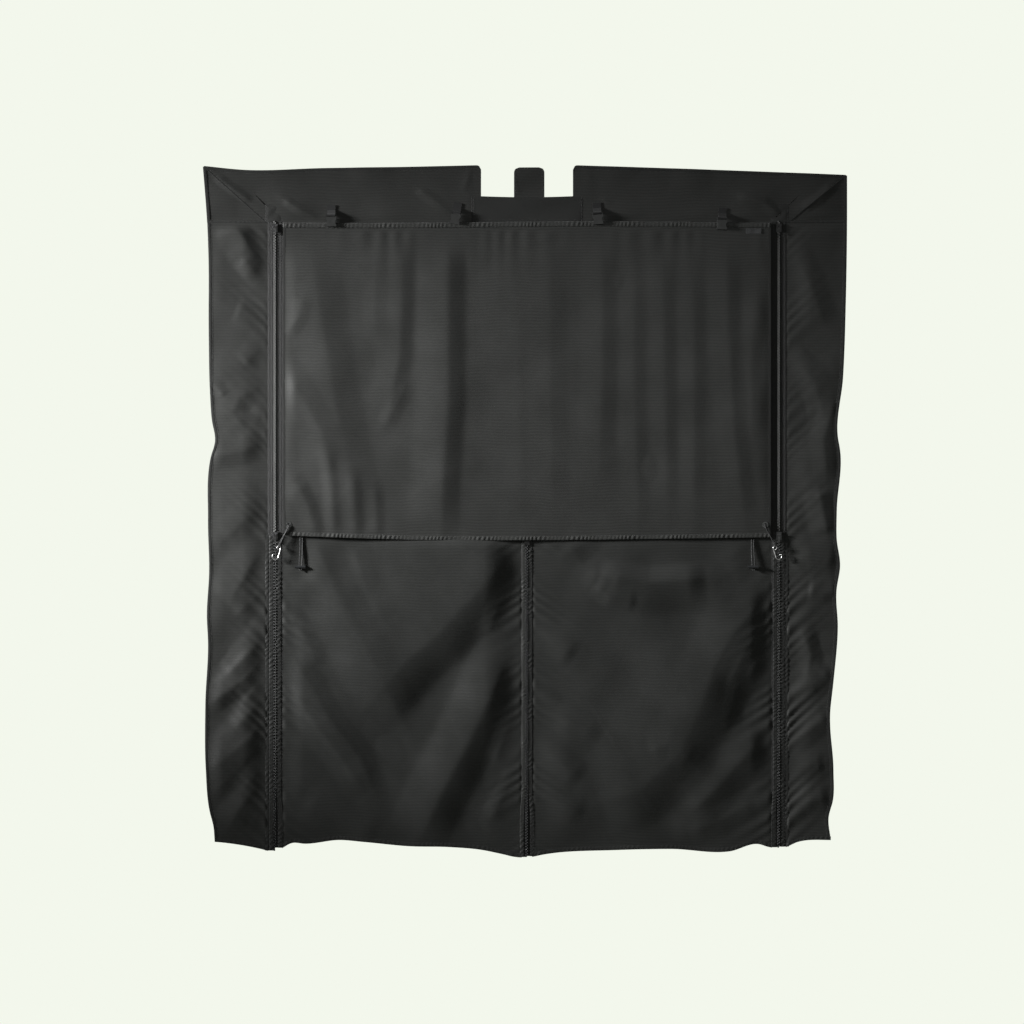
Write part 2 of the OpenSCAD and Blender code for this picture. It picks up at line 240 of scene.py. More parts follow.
def metal_material(name, colour, roughness, wear=0.2):
    """Plated metal with fine brushing and dull patches."""
    material, tree, shader = new_material(name)
    place = object_coordinates(tree)
    stretch = tree.nodes.new("ShaderNodeMapping")
    stretch.inputs["Scale"].default_value = (1, 1, 0.1)
    link(tree, place, stretch.inputs["Vector"])
    brushing = noise_node(tree, stretch.outputs["Vector"], 2200, 2)
    patches = noise_node(tree, place, 160, 4)
    shade = ramp(tree, patches, 0.3, 0.7, 1 - wear, 1 + wear)
    link(tree, tint(tree, colour, shade), shader.inputs["Base Color"])
    shader.inputs["Metallic"].default_value = 1.0
    rough = math_node(tree, "ADD", ramp(tree, brushing, 0.3, 0.7, roughness - 0.06, roughness + 0.06),
                      ramp(tree, patches, 0.4, 0.7, 0, 0.12))
    link(tree, rough, shader.inputs["Roughness"])
    bump(tree, shader, brushing, 0.03 * MM, 0.4)
    return material


def mesh_material(name, colour, cell=1.6 * MM):
    """Knitted insect mesh: square cells that let light through."""
    material, tree, shader = new_material(name)
    uv, across, up = cut_coordinates(tree)
    threads = math_node(tree, "MAXIMUM", wave(tree, across, cell), wave(tree, up, cell))
    shade = ramp(tree, noise_node(tree, uv, 30, 3), 0.3, 0.7, 0.8, 1.2)
    link(tree, tint(tree, colour, shade), shader.inputs["Base Color"])
    link(tree, ramp(tree, threads, 0.55, 0.7, 0.25, 1), shader.inputs["Alpha"])
    shader.inputs["Roughness"].default_value = 0.6
    bump(tree, shader, threads, 0.3 * MM, 0.6)
    return material


panel_cloth = cloth_material("panel_cloth", (0.0222, 0.0230, 0.0212), fade=0.1)
cover_cloth = cloth_material("cover_cloth", (0.0266, 0.0275, 0.0256), rib_depth=0.18, fade=0.06)
door_cloth = cloth_material("door_cloth", (0.0196, 0.0206, 0.0190), roughness=0.46, fade=0.1)
hem_cloth = cloth_material("hem_cloth", (0.0172, 0.018, 0.0168), rib=3 * MM, yarn=1.2 * MM)
# A lighter copy of hem_cloth: painted highlight for hems that catch the light.
painted_highlight_hem = cloth_material("painted_highlight_hem", (0.036, 0.0372, 0.035), rib=3 * MM, yarn=1.2 * MM)
tape_cloth = webbing_material("zip_tape_cloth", (0.013, 0.0134, 0.0128), rib=2.2 * MM)
webbing_cloth = webbing_material("webbing_cloth", (0.011, 0.0115, 0.012))
label_cloth = webbing_material("label_cloth", (0.06, 0.062, 0.064), rib=0.8 * MM)
cord_cloth = webbing_material("cord_cloth", (0.013, 0.0135, 0.014), rib=1.3 * MM)
thread = webbing_material("thread", (0.027, 0.0278, 0.0262), rib=0.9 * MM)
screen_mesh = mesh_material("screen_mesh", (0.02, 0.02, 0.021))
buckle_plastic = plastic_material("buckle_plastic", (0.026, 0.0265, 0.026), 0.34)
toggle_plastic = plastic_material("toggle_plastic", (0.016, 0.017, 0.018), 0.3)
teeth_nylon = plastic_material("teeth_nylon", (0.085, 0.086, 0.084), 0.42)
dark_nylon = plastic_material("dark_nylon", (0.010, 0.0105, 0.011), 0.5)
zip_metal = metal_material("zip_metal", (0.30, 0.30, 0.31), 0.3)
pull_metal = metal_material("pull_metal", (0.42, 0.42, 0.43), 0.28)
grommet_metal = metal_material("grommet_metal", (0.5, 0.51, 0.52), 0.26)
hook_metal = metal_material("hook_metal", (0.8, 0.8, 0.79), 0.3)
dark_metal = metal_material("dark_metal", (0.08, 0.08, 0.08), 0.4)
magnet_metal = metal_material("magnet_metal", (0.6, 0.6, 0.62), 0.3)


# ---------------------------------------------------------------- mesh building
class Builder:
    """Collects grids, bands and stitches into one mesh with cut coordinates and shading normals.

    A paint is the place of a part's material in the list that its piece is built with.
    """

    def __init__(self):
        self.points, self.cuts, self.normals, self.faces, self.paints = [], [], [], [], []
        self.count = 0

    def add(self, points, cuts, faces, paint, normals=None):
        points = np.asarray(points, float).reshape(-1, 3)
        self.points.append(points)
        self.cuts.append(np.asarray(cuts, float).reshape(-1, 2))
        blank = np.zeros_like(points) if normals is None else np.asarray(normals, float).reshape(-1, 3)
        self.normals.append(blank)
        self.faces += [[i + self.count for i in face] for face in faces]
        self.paints += [paint] * len(faces)
        self.count += len(points)

    def shell(self, front, thick, cuts, paint=0, normals=None, rolled=(True, True, True, True)):
        """A closed sheet from its front points; `rolled` is for its top, bottom, left and right edges."""
        rows, cols = front.shape[:2]
        behind_by = rows * cols
        if normals is None:
            normals = grid_normals(front)
        back = front - normals * thick
        front = front.copy()
        soften(front, back, rolled)
        index = np.arange(behind_by).reshape(rows, cols)
        a, b, c, d = index[:-1, :-1], index[:-1, 1:], index[1:, 1:], index[1:, :-1]
        ahead = np.stack([a, d, c, b], -1).reshape(-1, 4)
        behind = np.stack([a, b, c, d], -1).reshape(-1, 4) + behind_by
        faces = ahead.tolist() + behind.tolist()
        for line in (index[0, ::-1], index[-1, :], index[:, 0], index[::-1, -1]):
            for i, j in zip(line[:-1].tolist(), line[1:].tolist()):
                faces.append([i, i + behind_by, j + behind_by, j])
        both = np.concatenate([front.reshape(-1, 3), back.reshape(-1, 3)])
        flat = np.concatenate([cuts.reshape(-1, 2)] * 2)
        shade = np.concatenate([normals.reshape(-1, 3), -normals.reshape(-1, 3)])
        self.add(both, flat, faces, paint, shade)

    def build(self, name, paints, custom=False):
        mesh = bpy.data.meshes.new(name)
        points = np.concatenate(self.points)
        mesh.from_pydata(points.tolist(), [], self.faces)
        mesh.polygons.foreach_set("use_smooth", [True] * len(mesh.polygons))
        mesh.polygons.foreach_set("material_index", self.paints)
        for material in paints:
            mesh.materials.append(material)
        layer = mesh.uv_layers.new(name="cut")
        loops = np.zeros(len(mesh.loops), np.int32)
        mesh.loops.foreach_get("vertex_index", loops)
        layer.data.foreach_set("uv", np.concatenate(self.cuts)[loops].astype(np.float32).ravel())
        mesh.validate()
        if custom:
            mesh.normals_split_custom_set_from_vertices(np.concatenate(self.normals).tolist())
        piece = bpy.data.objects.new(name, mesh)
        bpy.context.collection.objects.link(piece)
        return piece


EDGE_ROLL = 0.6


def soften(front, back, rolled):
    """Rolls a sheet's edges: the outermost points of both faces move some of the way together."""
    for roll, edge in zip(rolled, (np.s_[0, :], np.s_[-1, :], np.s_[:, 0], np.s_[:, -1])):
        if roll:
            mean = (front[edge] + back[edge]) / 2
            front[edge] = front[edge] * (1 - EDGE_ROLL) + mean * EDGE_ROLL
            back[edge] = back[edge] * (1 - EDGE_ROLL) + mean * EDGE_ROLL


def grid_normals(grid):
    """Normals of a grid of points, facing the viewer's side, -Y."""
    along = np.gradient(grid, axis=1)
    down = np.gradient(grid, axis=0)
    normal = np.cross(down, along)
    normal /= np.maximum(np.linalg.norm(normal, axis=-1, keepdims=True), 1e-12)
    facing = np.where(normal[..., 1:2] > 0, -1.0, 1.0)
    return normal * facing


def curve_through(points, at):
    """A smooth curve through (position, value) pairs, sampled at the given positions."""
    points = sorted(points)
    t = np.array([p[0] for p in points], float)
    y = np.array([p[1] for p in points], float)
    slope = np.gradient(y, t)
    at = np.clip(np.asarray(at, float), t[0], t[-1])
    k = np.clip(np.searchsorted(t, at) - 1, 0, len(t) - 2)
    span = t[k + 1] - t[k]
    s = (at - t[k]) / span
    return (y[k] * (2 * s**3 - 3 * s**2 + 1) + y[k + 1] * (3 * s**2 - 2 * s**3)
            + slope[k] * span * (s**3 - 2 * s**2 + s) + slope[k + 1] * span * (s**3 - s**2))


def smooth(x):
    x = np.clip(x, 0, 1)
    return x * x * (3 - 2 * x)


# ---------------------------------------------------------------- folds
# A fold is a ridge in the cloth: points that it runs through (mm across, mm up), the width of its slope on
# the left of its run and on the right of it, as seen with the run going down, and its height, all in mm.
COVER_FOLDS = [
    ([(-584, -50), (-564, -250), (-518, -520), (-475, -740), (-470, -880)], 80, 70, 5),
    ([(-212, -30), (-214, -300), (-214, -520), (-228, -740), (-232, -890)], 84, 46, 7),
    ([(-338, -60), (-338, -250), (-345, -400), (-375, -560)], 60, 34, 3.5),
    ([(-316, -460), (-350, -520), (-388, -585)], 22, 26, 1.2),
    ([(-408, -60), (-408, -360)], 34, 30, 1.4),
    ([(-655, -430), (-600, -520), (-555, -600), (-535, -720)], 60, 46, 4),
    ([(-625, -730), (-590, -800), (-568, -885)], 34, 26, 3),
    ([(-538, -640), (-526, -760), (-520, -885)], 24, 20, 2.2),
    ([(-470, -700), (-460, -885)], 22, 20, 1.6),
    ([(-410, -740), (-404, -885)], 24, 22, 1.6),
    ([(-655, -340), (-615, -290), (-600, -230)], 26, 30, 2),
    ([(-75, -45), (-35, -72), (5, -82), (50, -72), (90, -45)], 20, 22, 3),
    ([(-30, -130), (-20, -500), (-15, -860)], 90, 80, 1.8),
    ([(60, -60), (62, -400), (70, -860)], 60, 44, 1.7),
    ([(202, -60), (205, -350), (195, -700)], 55, 40, 2.2),
    ([(292, -90), (288, -400), (300, -860)], 44, 34, 1.5),
    ([(364, -60), (370, -380), (380, -820)], 46, 32, 1.8),
    ([(446, -120), (452, -400), (450, -860)], 42, 30, 1.6),
    ([(538, -70), (542, -300), (560, -600), (590, -860)], 50, 34, 2.4),
    ([(622, -200), (604, -420), (612, -640)], 34, 28, 1.5),
]
DOOR_FOLDS = [
    ([(-590, -860), (-500, -1060), (-410, -1235), (-315, -1420)], 90, 60, 7),
    ([(-10, -885), (-145, -1037), (-245, -1145), (-330, -1215), (-440, -1345)], 270, 92, 21),
    ([(-30, -1170), (-75, -1260), (-157, -1434), (-238, -1588), (-290, -1700)], 92, 68, 16),
    ([(-650, -1185), (-580, -1285), (-535, -1374), (-454, -1474), (-400, -1600)], 50, 40, 5),
    ([(-650, -1270), (-580, -1374), (-508, -1469), (-430, -1580)], 44, 50, 6),
    ([(-655, -1080), (-600, -1150), (-560, -1240)], 34, 34, 3),
    ([(-613, -1593), (-505, -1634), (-397, -1690)], 60, 50, 4),
    ([(-470, -900), (-440, -1010), (-380, -1120)], 50, 44, 2),
    ([(-30, -1010), (-75, -1070), (-110, -1150)], 30, 34, 3),
    ([(-25, -1340), (-62, -1420), (-90, -1500)], 28, 34, 4),
    ([(-25, -1500), (-60, -1570), (-100, -1650)], 30, 34, 4),
    ([(190, -985), (330, -1008), (490, -995)], 80, 44, 12),
    ([(180, -1010), (225, -1045), (300, -1060)], 30, 34, 4),
    ([(655, -1020), (551, -1150), (500, -1240), (470, -1330)], 90, 44, 8),
    ([(655, -1100), (590, -1180), (540, -1290)], 40, 30, 4),
    ([(655, -1185), (565, -1290), (528, -1420)], 80, 40, 4),
    ([(540, -1200), (480, -1296), (413, -1458), (305, -1560), (190, -1600)], 220, 96, 17),
    ([(325, -1461), (383, -1440), (445, -1490)], 36, 46, 3),
    ([(10, -1280), (70, -1353), (205, -1425)], 60, 44, 5),
    ([(10, -1415), (62, -1469), (150, -1540)], 50, 44, 5),
    ([(10, -1530), (80, -1590), (160, -1630)], 44, 44, 4),
    ([(10, -1100), (60, -1160), (130, -1210)], 44, 44, 4),
    ([(650, -1400), (590, -1470), (520, -1550), (430, -1640)], 70, 60, 8),
    ([(110, -890), (150, -960), (230, -1010)], 60, 60, 4),
    ([(620, -1590), (520, -1650), (430, -1680)], 40, 40, 4),
]
WING_FOLDS = [
    ([(-800, -20), (-752, -100), (-696, -165)], 60, 34, 9),
    ([(-770, -125), (-696, -215)], 34, 30, 3),
    ([(-790, -265), (-696, -300)], 40, 34, 2.5),
    ([(-696, -345), (-765, -420)], 40, 36, 3),
    ([(-696, -465), (-775, -505), (-794, -545), (-755, -600)], 50, 40, 4),
    ([(-696, -515), (-735, -575)], 26, 26, 2.5),
    ([(-696, -620), (-770, -652), (-870, -668)], 60, 36, 5),
    ([(-862, -455), (-835, -480), (-815, -505)], 20, 20, 2),
    ([(-696, -800), (-755, -830), (-820, -890)], 50, 40, 3),
    ([(-696, -880), (-761, -985), (-810, -1070)], 70, 44, 7),
    ([(-696, -1010), (-790, -1100)], 40, 34, 4),
    ([(-696, -1136), (-745, -1190), (-815, -1262)], 44, 30, 6),
    ([(-696, -1190), (-760, -1262), (-870, -1345)], 50, 32, 8),
    ([(-696, -1246), (-766, -1330)], 34, 26, 4.5),
    ([(-696, -1300), (-790, -1404)], 38, 30, 6),
    ([(-696, -1358), (-748, -1425), (-870, -1522)], 70, 44, 10),
    ([(-696, -1420), (-770, -1501), (-858, -1580)], 46, 34, 6),
    ([(-696, -1476), (-760, -1555)], 34, 28, 4.5),
    ([(-696, -1520), (-765, -1600), (-810, -1670)], 50, 40, 7),
    ([(-696, -1596), (-745, -1660)], 34, 28, 4),
    ([(696, -70), (760, -190), (805, -320)], 50, 44, 3.5),
    ([(696, -380), (775, -460), (805, -570)], 50, 44, 3.5),
    ([(835, -500), (800, -620), (810, -740)], 36, 36, 4),
    ([(785, -750), (800, -820), (812, -880)], 44, 34, 6),
    ([(696, -960), (750, -935), (840, -950)], 40, 60, 4.5),
    ([(755, -1030), (800, -1036), (842, -1030)], 24, 44, 4.5),
    ([(740, -1130), (766, -1200), (752, -1270)], 34, 34, 4.5),
    ([(696, -1305), (767, -1285), (822, -1235)], 36, 44, 6),
    ([(696, -1450), (760, -1405), (820, -1360)], 36, 40, 5),
    ([(696, -1530), (745, -1500), (805, -1495)], 30, 40, 4),
    ([(696, -1640), (740, -1600), (820, -1585)], 36, 44, 5),
]
HEADER_FOLDS = [
    ([(-845, 95), (-790, 55), (-740, 20)], 16, 14, 4),
    ([(-661, 32), (-620, 5), (-553, -30)], 16, 14, 4),
    ([(-640, 20), (-560, 0), (-480, -6)], 20, 14, 3),
    ([(-152, 112), (-160, 80), (-180, 50)], 14, 14, 5),
    ([(-300, 60), (-240, 20), (-200, -10)], 18, 16, 3),
    ([(160, 105), (190, 60), (220, 0)], 20, 20, 3),
    ([(560, 40), (640, 20), (690, -20)], 20, 18, 4),
    ([(830, 70), (790, 30), (740, 0)], 18, 16, 4),
]


def fold_height(x, z, folds):
    """Sum of the folds' heights at x, z in metres; the answer is in metres."""
    x, z = x / MM, z / MM
    total = np.zeros_like(x)
    for points, left, right, height in folds:
        best = np.full_like(x, 1e9)
        offset, run = np.zeros_like(x), np.zeros_like(x)
        lengths = [math.dist(a, b) for a, b in zip(points, points[1:])]
        whole, done = sum(lengths), 0
        for (ax, az), (bx, bz), length in zip(points, points[1:], lengths):
            dx, dz = (bx - ax) / length, (bz - az) / length
            t = np.clip((x - ax) * dx + (z - az) * dz, 0, length)
            away = np.hypot(x - ax - t * dx, z - az - t * dz)
            side = (x - ax) * -dz + (z - az) * dx
            nearer = away < best
            best = np.where(nearer, away, best)
            offset = np.where(nearer, side / np.maximum(away, 1e-6), offset)
            run = np.where(nearer, (done + t) / whole, run)
            done += length
        width = left + (right - left) * smooth(0.5 + 0.5 * offset)
        ends = 0.3 + 0.7 * smooth(run / 0.2) * smooth((1 - run) / 0.2)
        slope = 1.08 - np.sqrt((best / width) ** 2 + 0.012)
        total += height * ends * 0.5 * (slope + np.sqrt(slope**2 + 0.02))
    return total * MM


def settle(height, most=21 * MM):
    """Keeps folds from standing further out than the hanging cloth would."""
    return most * np.tanh(height / most)


def ripple(x, z, seed, size, longest=0.42):
    """Soft unevenness of hanging cloth: seeded waves in many directions."""
    rng = np.random.default_rng(seed)
    total = np.zeros_like(x)
    for length in np.geomspace(longest, 0.12, 9):
        angle, phase = rng.uniform(0, math.pi), rng.uniform(0, 2 * math.pi)
        along = x * math.cos(angle) + z * math.sin(angle)
        total += size * (length / longest) ** 0.8 * np.sin(2 * math.pi * along / length + phase)
    return total


def gathers(x, z, line, reach, size, period, seed, lean=0.6):
    """Puckers that fan out from an upright seam at x = line."""
    away = np.abs(x - line)
    bent = z + lean * away
    phase = 2 * math.pi * bent / period + 1.7 * np.sin(bent / period * 1.3 + seed)
    phase += 0.9 * np.sin(bent / period * 0.37)
    strength = 0.55 + 0.45 * np.sin(bent / period * 0.9 + seed * 2.3)
    return size * strength * np.exp(-away / reach) * (0.5 + 0.5 * np.sin(phase))


def hem_puckers(x, z, line, reach, size, period, seed):
    """Puckers that hang from a level seam at z = line."""
    away = np.abs(line - z)
    phase = 2 * math.pi * x / period + 1.5 * np.sin(x / period * 1.1 + seed) + 0.8 * np.sin(x / period * 0.41)
    strength = 0.5 + 0.5 * np.sin(x / period * 0.77 + seed)
    return size * strength * np.exp(-away / reach) * (0.5 + 0.5 * np.sin(phase))


def cover_relief(x, z):
    """How far the cover's cloth stands out: its folds, the fall below the header and the tucked sides."""
    top = smooth((SEAM_Z - 26 * MM - z) / (90 * MM))
    inside = COVER_EDGE - np.abs(x)
    side = smooth(inside / (34 * MM))
    corner = smooth(np.hypot(inside / 0.12, (z - COVER_FOOT) / 0.12))
    soft = fold_height(x, z, COVER_FOLDS) + ripple(x, z, 3, 0.5 * MM) + 1.0 * MM
    fall = hem_puckers(x, z, SEAM_Z - 14 * MM, 60 * MM, 1.8 * MM, 46 * MM, 2)
    fall *= smooth((SEAM_Z - 16 * MM - z) / (20 * MM))
    tuck = 0.8 * MM * smooth(1 - inside / (18 * MM)) * top * corner
    return settle(np.maximum(soft, 0) * top * side * corner + fall * side, 15 * MM) - tuck


def door_relief(x, z):
    """How far a door leaf stands out: its folds, and the puckers beside its zips."""
    top = smooth((-0.862 - z) / 0.05)
    side = smooth((LEAF_EDGE - np.abs(x)) / (60 * MM))
    centre = smooth((np.abs(x) - 12 * MM) / (105 * MM))
    flat_behind_cord = 1 - 0.85 * np.exp(-(((np.abs(x) - TOGGLE_X) / 0.035) ** 2)) * smooth((z + 1.03) / 0.05)
    soft = fold_height(x, z, DOOR_FOLDS) + ripple(x, z, 8, 0.9 * MM) + 1.2 * MM
    by_side = gathers(x, z, np.sign(x) * LEAF_EDGE, 40 * MM, 3.4 * MM, 38 * MM, 1.0)
    by_centre = gathers(x, z, np.sign(x) * 12 * MM, 36 * MM, 2.8 * MM, 34 * MM, 2.0)
    pucker = by_side * smooth((LEAF_EDGE - np.abs(x)) / (9 * MM))
    pucker += by_centre * smooth((np.abs(x) - 13 * MM) / (8 * MM))
    return settle((np.maximum(soft, 0) * side * centre + pucker) * top * flat_behind_cord, 24 * MM)


def wing_relief(x, z):
    """How far a wing stands out: its folds, and the puckers beside its zip."""
    inner = smooth((np.abs(x) - PANEL_EDGE) / (70 * MM))
    top = smooth((SEAM_Z - z) / (30 * MM))
    outer = smooth((0.87 - np.abs(x)) / (50 * MM)) * 0.7 + 0.3
    soft = (fold_height(x, z, WING_FOLDS) + ripple(x, z, 5, 0.9 * MM) + 1.4 * MM) * outer
    pucker = gathers(x, z, np.sign(x) * PANEL_EDGE, 44 * MM, 3.8 * MM, 38 * MM, 4.0, -0.9)
    pucker *= smooth((np.abs(x) - PANEL_EDGE) / (8 * MM)) * (0.35 + 0.65 * smooth((-0.75 - z) / 0.4))
    return settle((np.maximum(soft, 0) * inner + pucker) * top)


def header_relief(x, z):
    """How far the header stands out: low folds that lie flat under the tabs and the patch."""
    low = smooth((z - SEAM_Z) / (22 * MM))
    tabs = 1 - 0.9 * np.clip(sum(np.exp(-(((x - c) / 0.045) ** 2)) for c in BUCKLES_X), 0, 1)
    soft = 0.7 * fold_height(x, z, HEADER_FOLDS) + ripple(x, z, 11, 0.5 * MM, longest=0.26) + 0.8 * MM
    patch = smooth((np.abs(x) - 0.14) / 0.03)
    return np.maximum(soft, 0) * low * tabs * patch


# ---------------------------------------------------------------- outlines, (along, value) in metres
LEFT_EDGE = [(0.119, -0.875), (-0.024, -0.864), (-0.12, -0.860), (-0.35, -0.859), (-0.49, -0.856),
             (-0.57, -0.851), (-0.63, -0.842), (-0.675, -0.854), (-0.84, -0.861), (-0.985, -0.858),
             (-1.10, -0.864), (-1.17, -0.861), (-1.335, -0.868), (-1.51, -0.867), (-1.625, -0.857),
             (-1.67, -0.846), (-1.71, -0.843)]
RIGHT_EDGE = [(0.095, 0.864), (-0.03, 0.864), (-0.24, 0.861), (-0.46, 0.853), (-0.62, 0.839),
              (-0.656, 0.845), (-0.82, 0.836), (-0.895, 0.836), (-0.967, 0.845), (-1.037, 0.835),
              (-1.134, 0.839), (-1.29, 0.826), (-1.365, 0.818), (-1.52, 0.827), (-1.60, 0.826),
              (-1.65, 0.814), (-1.71, 0.820)]
BOTTOM_EDGE = [(-0.87, -1.705), (-0.844, -1.706), (-0.775, -1.714), (-0.715, -1.726),
               (-0.695, -1.731), (-0.672, -1.728), (-0.634, -1.709), (-0.60, -1.711),
               (-0.505, -1.701), (-0.44, -1.706), (-0.324, -1.717),
               (-0.208, -1.720), (-0.12, -1.728), (-0.067, -1.739), (-0.03, -1.747), (0.01, -1.747),
               (0.04, -1.741), (0.24, -1.728), (0.39, -1.725), (0.548, -1.731), (0.626, -1.712),
               (0.653, -1.720), (0.688, -1.723), (0.732, -1.706), (0.821, -1.701), (0.87, -1.702)]
TOP_LEFT = [(-0.875, 0.119), (-0.761, 0.108), (-0.55, 0.113), (-0.343, 0.116), (-0.12, 0.121)]
TOP_RIGHT = [(0.12, 0.121), (0.40, 0.112), (0.70, 0.101), (0.875, 0.094)]
COVER_BOTTOM = [(-0.66, -0.878), (-0.50, -0.884), (-0.30, -0.890), (0.0, -0.891), (0.30, -0.888),
                (0.66, -0.883)]


def count(length, step=6 * MM):
    """How many points a run of this length takes."""
    return max(2, int(round(abs(length) / step)) + 1)


def distances(points):
    """Distance along a line of points, from its start."""
    return np.concatenate([[0], np.cumsum(np.linalg.norm(np.diff(points, axis=0), axis=1))])


def upright(x, levels):
    return np.full(len(levels), x)


def pairs(x, z):
    """Points on the flat cloth, across and up, for a cut or a line of stitches."""
    return np.stack([x, z], -1)


def surface(x, z, depth, relief):
    """Points of a sheet whose front lies `depth` in front of the back plane plus its relief."""
    return np.stack([x, -(depth + relief(x, z)), z], -1)


def cloth_piece(name, builder, paints, nodes, custom=True):
    """A piece of cloth that stands for CAD nodes, shaded with its grids' own normals unless custom is off."""
    piece = builder.build(name, paints, custom)
    if nodes:
        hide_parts(*nodes)
    return piece


# ---------------------------------------------------------------- bands, hems and stitches
BAND_COLUMNS = 7


def band_profile():
    """Places across a band, from -1 to 1, and how far its rounded face swells at each."""
    s = np.linspace(-1, 1, BAND_COLUMNS)
    return s, np.sqrt(np.maximum(1 - 0.85 * s**2, 0))


def band(b, x, z, depth, half, crown, paint, level=False, pucker=0.0, period=11 * MM, seed=0.0,
         thick=0.9 * MM):
    """A narrow sewn band along the line x, z, with a rounded face that puckers along its run."""
    run = distances(pairs(x, z))[:, None]
    s, swell = (row[None, :] for row in band_profile())
    flat_edge = 1 - np.abs(s) ** 6
    phase = 2 * math.pi * run / period + 1.9 * np.sin(run / period * 0.9 + seed)
    phase = phase + np.sin(run / period * 0.31) + 0.9 * s
    strength = pucker * (0.6 + 0.4 * np.sin(run / period * 0.47 + 2 * seed))
    face = np.reshape(depth, (-1, 1)) + crown * swell
    face = face + strength * (0.5 + 0.5 * np.sin(phase)) * flat_edge * (0.3 + 0.7 * swell)
    px = x[:, None] + (0 if level else half) * s
    pz = z[:, None] - (half if level else 0) * s
    grid = np.stack([px, -face, pz], -1)
    cuts = pairs(half * s + 0 * run, run + 0 * s)
    if level:
        grid, cuts = grid.transpose(1, 0, 2), cuts.transpose(1, 0, 2)
    b.shell(grid, thick, cuts, paint)


def level_band(b, x, z, depth, half, paint, crown=0.6 * MM, pucker=1.3 * MM, period=11 * MM):
    """A level hem whose depth follows the cloth that it is folded from."""
    s, swell = (row[:, None] for row in band_profile())
    run = x[None, :]
    wander = 1.2 * np.sin(run / period * 0.83) + 0.8 * np.sin(run / period * 0.31)
    phase = 2 * math.pi * run / period + wander + 0.8 * s
    strength = 0.6 + 0.4 * np.sin(run / period * 0.53 + 1)
    face = depth[None, :] + crown * swell + pucker * strength * (0.5 + 0.5 * np.sin(phase)) * swell
    grid = np.stack([run + 0 * s, -face, z[None, :] - half * s], -1)
    cuts = pairs(run + 0 * s, z[None, :] - half * s)
    b.shell(grid, 0.9 * MM, cuts, paint)


def stitches(b, points, depth, paint, pitch=4.4 * MM, length=3.0 * MM, radius=0.42 * MM):
    """A row of sewn stitches along (x, z) points: a short eight-faced grain for each."""
    points = np.asarray(points, float)
    along = distances(points)
    at = np.arange(pitch / 2, along[-1], pitch)
    depths = np.interp(at, along, depth) if np.ndim(depth) else np.full(len(at), depth)
    px, pz = np.interp(at, along, points[:, 0]), np.interp(at, along, points[:, 1])
    ahead = np.clip(at + 0.5 * MM, 0, along[-1])
    behind = np.clip(at - 0.5 * MM, 0, along[-1])
    tx = np.interp(ahead, along, points[:, 0]) - np.interp(behind, along, points[:, 0])
    tz = np.interp(ahead, along, points[:, 1]) - np.interp(behind, along, points[:, 1])
    size = np.maximum(np.hypot(tx, tz), 1e-9)
    tx, tz = tx / size, tz / size
    verts, cuts, faces = [], [], []
    shape = [(-0.5, 0, 0), (0.5, 0, 0), (0, 1, 0), (0, -1, 0), (0, 0, 1), (0, 0, -1)]
    sides = [(0, 4, 2), (0, 2, 5), (0, 5, 3), (0, 3, 4), (1, 2, 4), (1, 5, 2), (1, 3, 5), (1, 4, 3)]
    for k in range(len(at)):
        for a, side, out in shape:
            verts.append((px[k] + tx[k] * a * length - tz[k] * side * radius, -depths[k] - out * radius,
                          pz[k] + tz[k] * a * length + tx[k] * side * radius))
            cuts.append((side * radius, a * length))
        faces += [[6 * k + i for i in side] for side in sides]
    if verts:
        b.add(verts, cuts, faces, paint)


def placket(b, x, levels, half, paint, thread_paint, seed):
    """The puckered edge of a leaf beside a zip, with its two rows of stitches."""
    band(b, x, levels, 2.3 * MM, half, 0.5 * MM, paint, pucker=1.3 * MM, seed=seed, period=12 * MM,
         thick=0.6 * MM)
    for edge in (-0.72, 0.72):
        stitches(b, pairs(x + edge * half, levels), 3.3 * MM, thread_paint)


# ---------------------------------------------------------------- header, gussets, wings
SIDES = {"left": -1, "right": 1}
PANEL_PAINTS = [panel_cloth, hem_cloth, thread]


def header_piece(side, s):
    """Half of the header, from the notch to the mitre, with its rim and stitches."""
    node = f"header_{side}"
    edge_points = TOP_LEFT if s < 0 else TOP_RIGHT
    cols, rows = count(0.745, 5 * MM), count(0.15, 5 * MM)
    u, v = np.meshgrid(np.linspace(0, 1, cols), np.linspace(0, 1, rows))
    low_x = s * (NOTCH + u * (PANEL_EDGE + 8 * MM - NOTCH))
    high_x = s * (NOTCH + u * (CORNER_X[s] - NOTCH))
    high_z = curve_through(edge_points, high_x)
    corner = 12 * MM
    inset = np.clip(corner - np.abs(high_x - s * NOTCH), 0, corner)
    high_z = high_z - (corner - np.sqrt(np.maximum(corner**2 - inset**2, 0)))
    x = high_x * (1 - v) + low_x * v
    low_z = SEAM_Z - np.where(np.abs(low_x) < LEAF_EDGE - 6 * MM, 12 * MM, 0)
    z = high_z * (1 - v) + low_z * v
    if s < 0:
        x, z = x[:, ::-1], z[:, ::-1]
    b = Builder()
    b.shell(surface(x, z, PANEL_FRONT, header_relief), 1.6 * MM, pairs(x, z))
    top_x = x[0]
    rim = z[0] - 4 * MM
    level_band(b, top_x, rim, PANEL_FRONT + header_relief(top_x, rim), 4.2 * MM, 1, pucker=0.3 * MM)
    stitches(b, pairs(top_x, rim - 5.5 * MM), PANEL_FRONT + 0.3 * MM + header_relief(top_x, rim), 2)
    piece = cloth_piece(f"{node}_cloth", b, PANEL_PAINTS, [node])
    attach(piece, "panel")


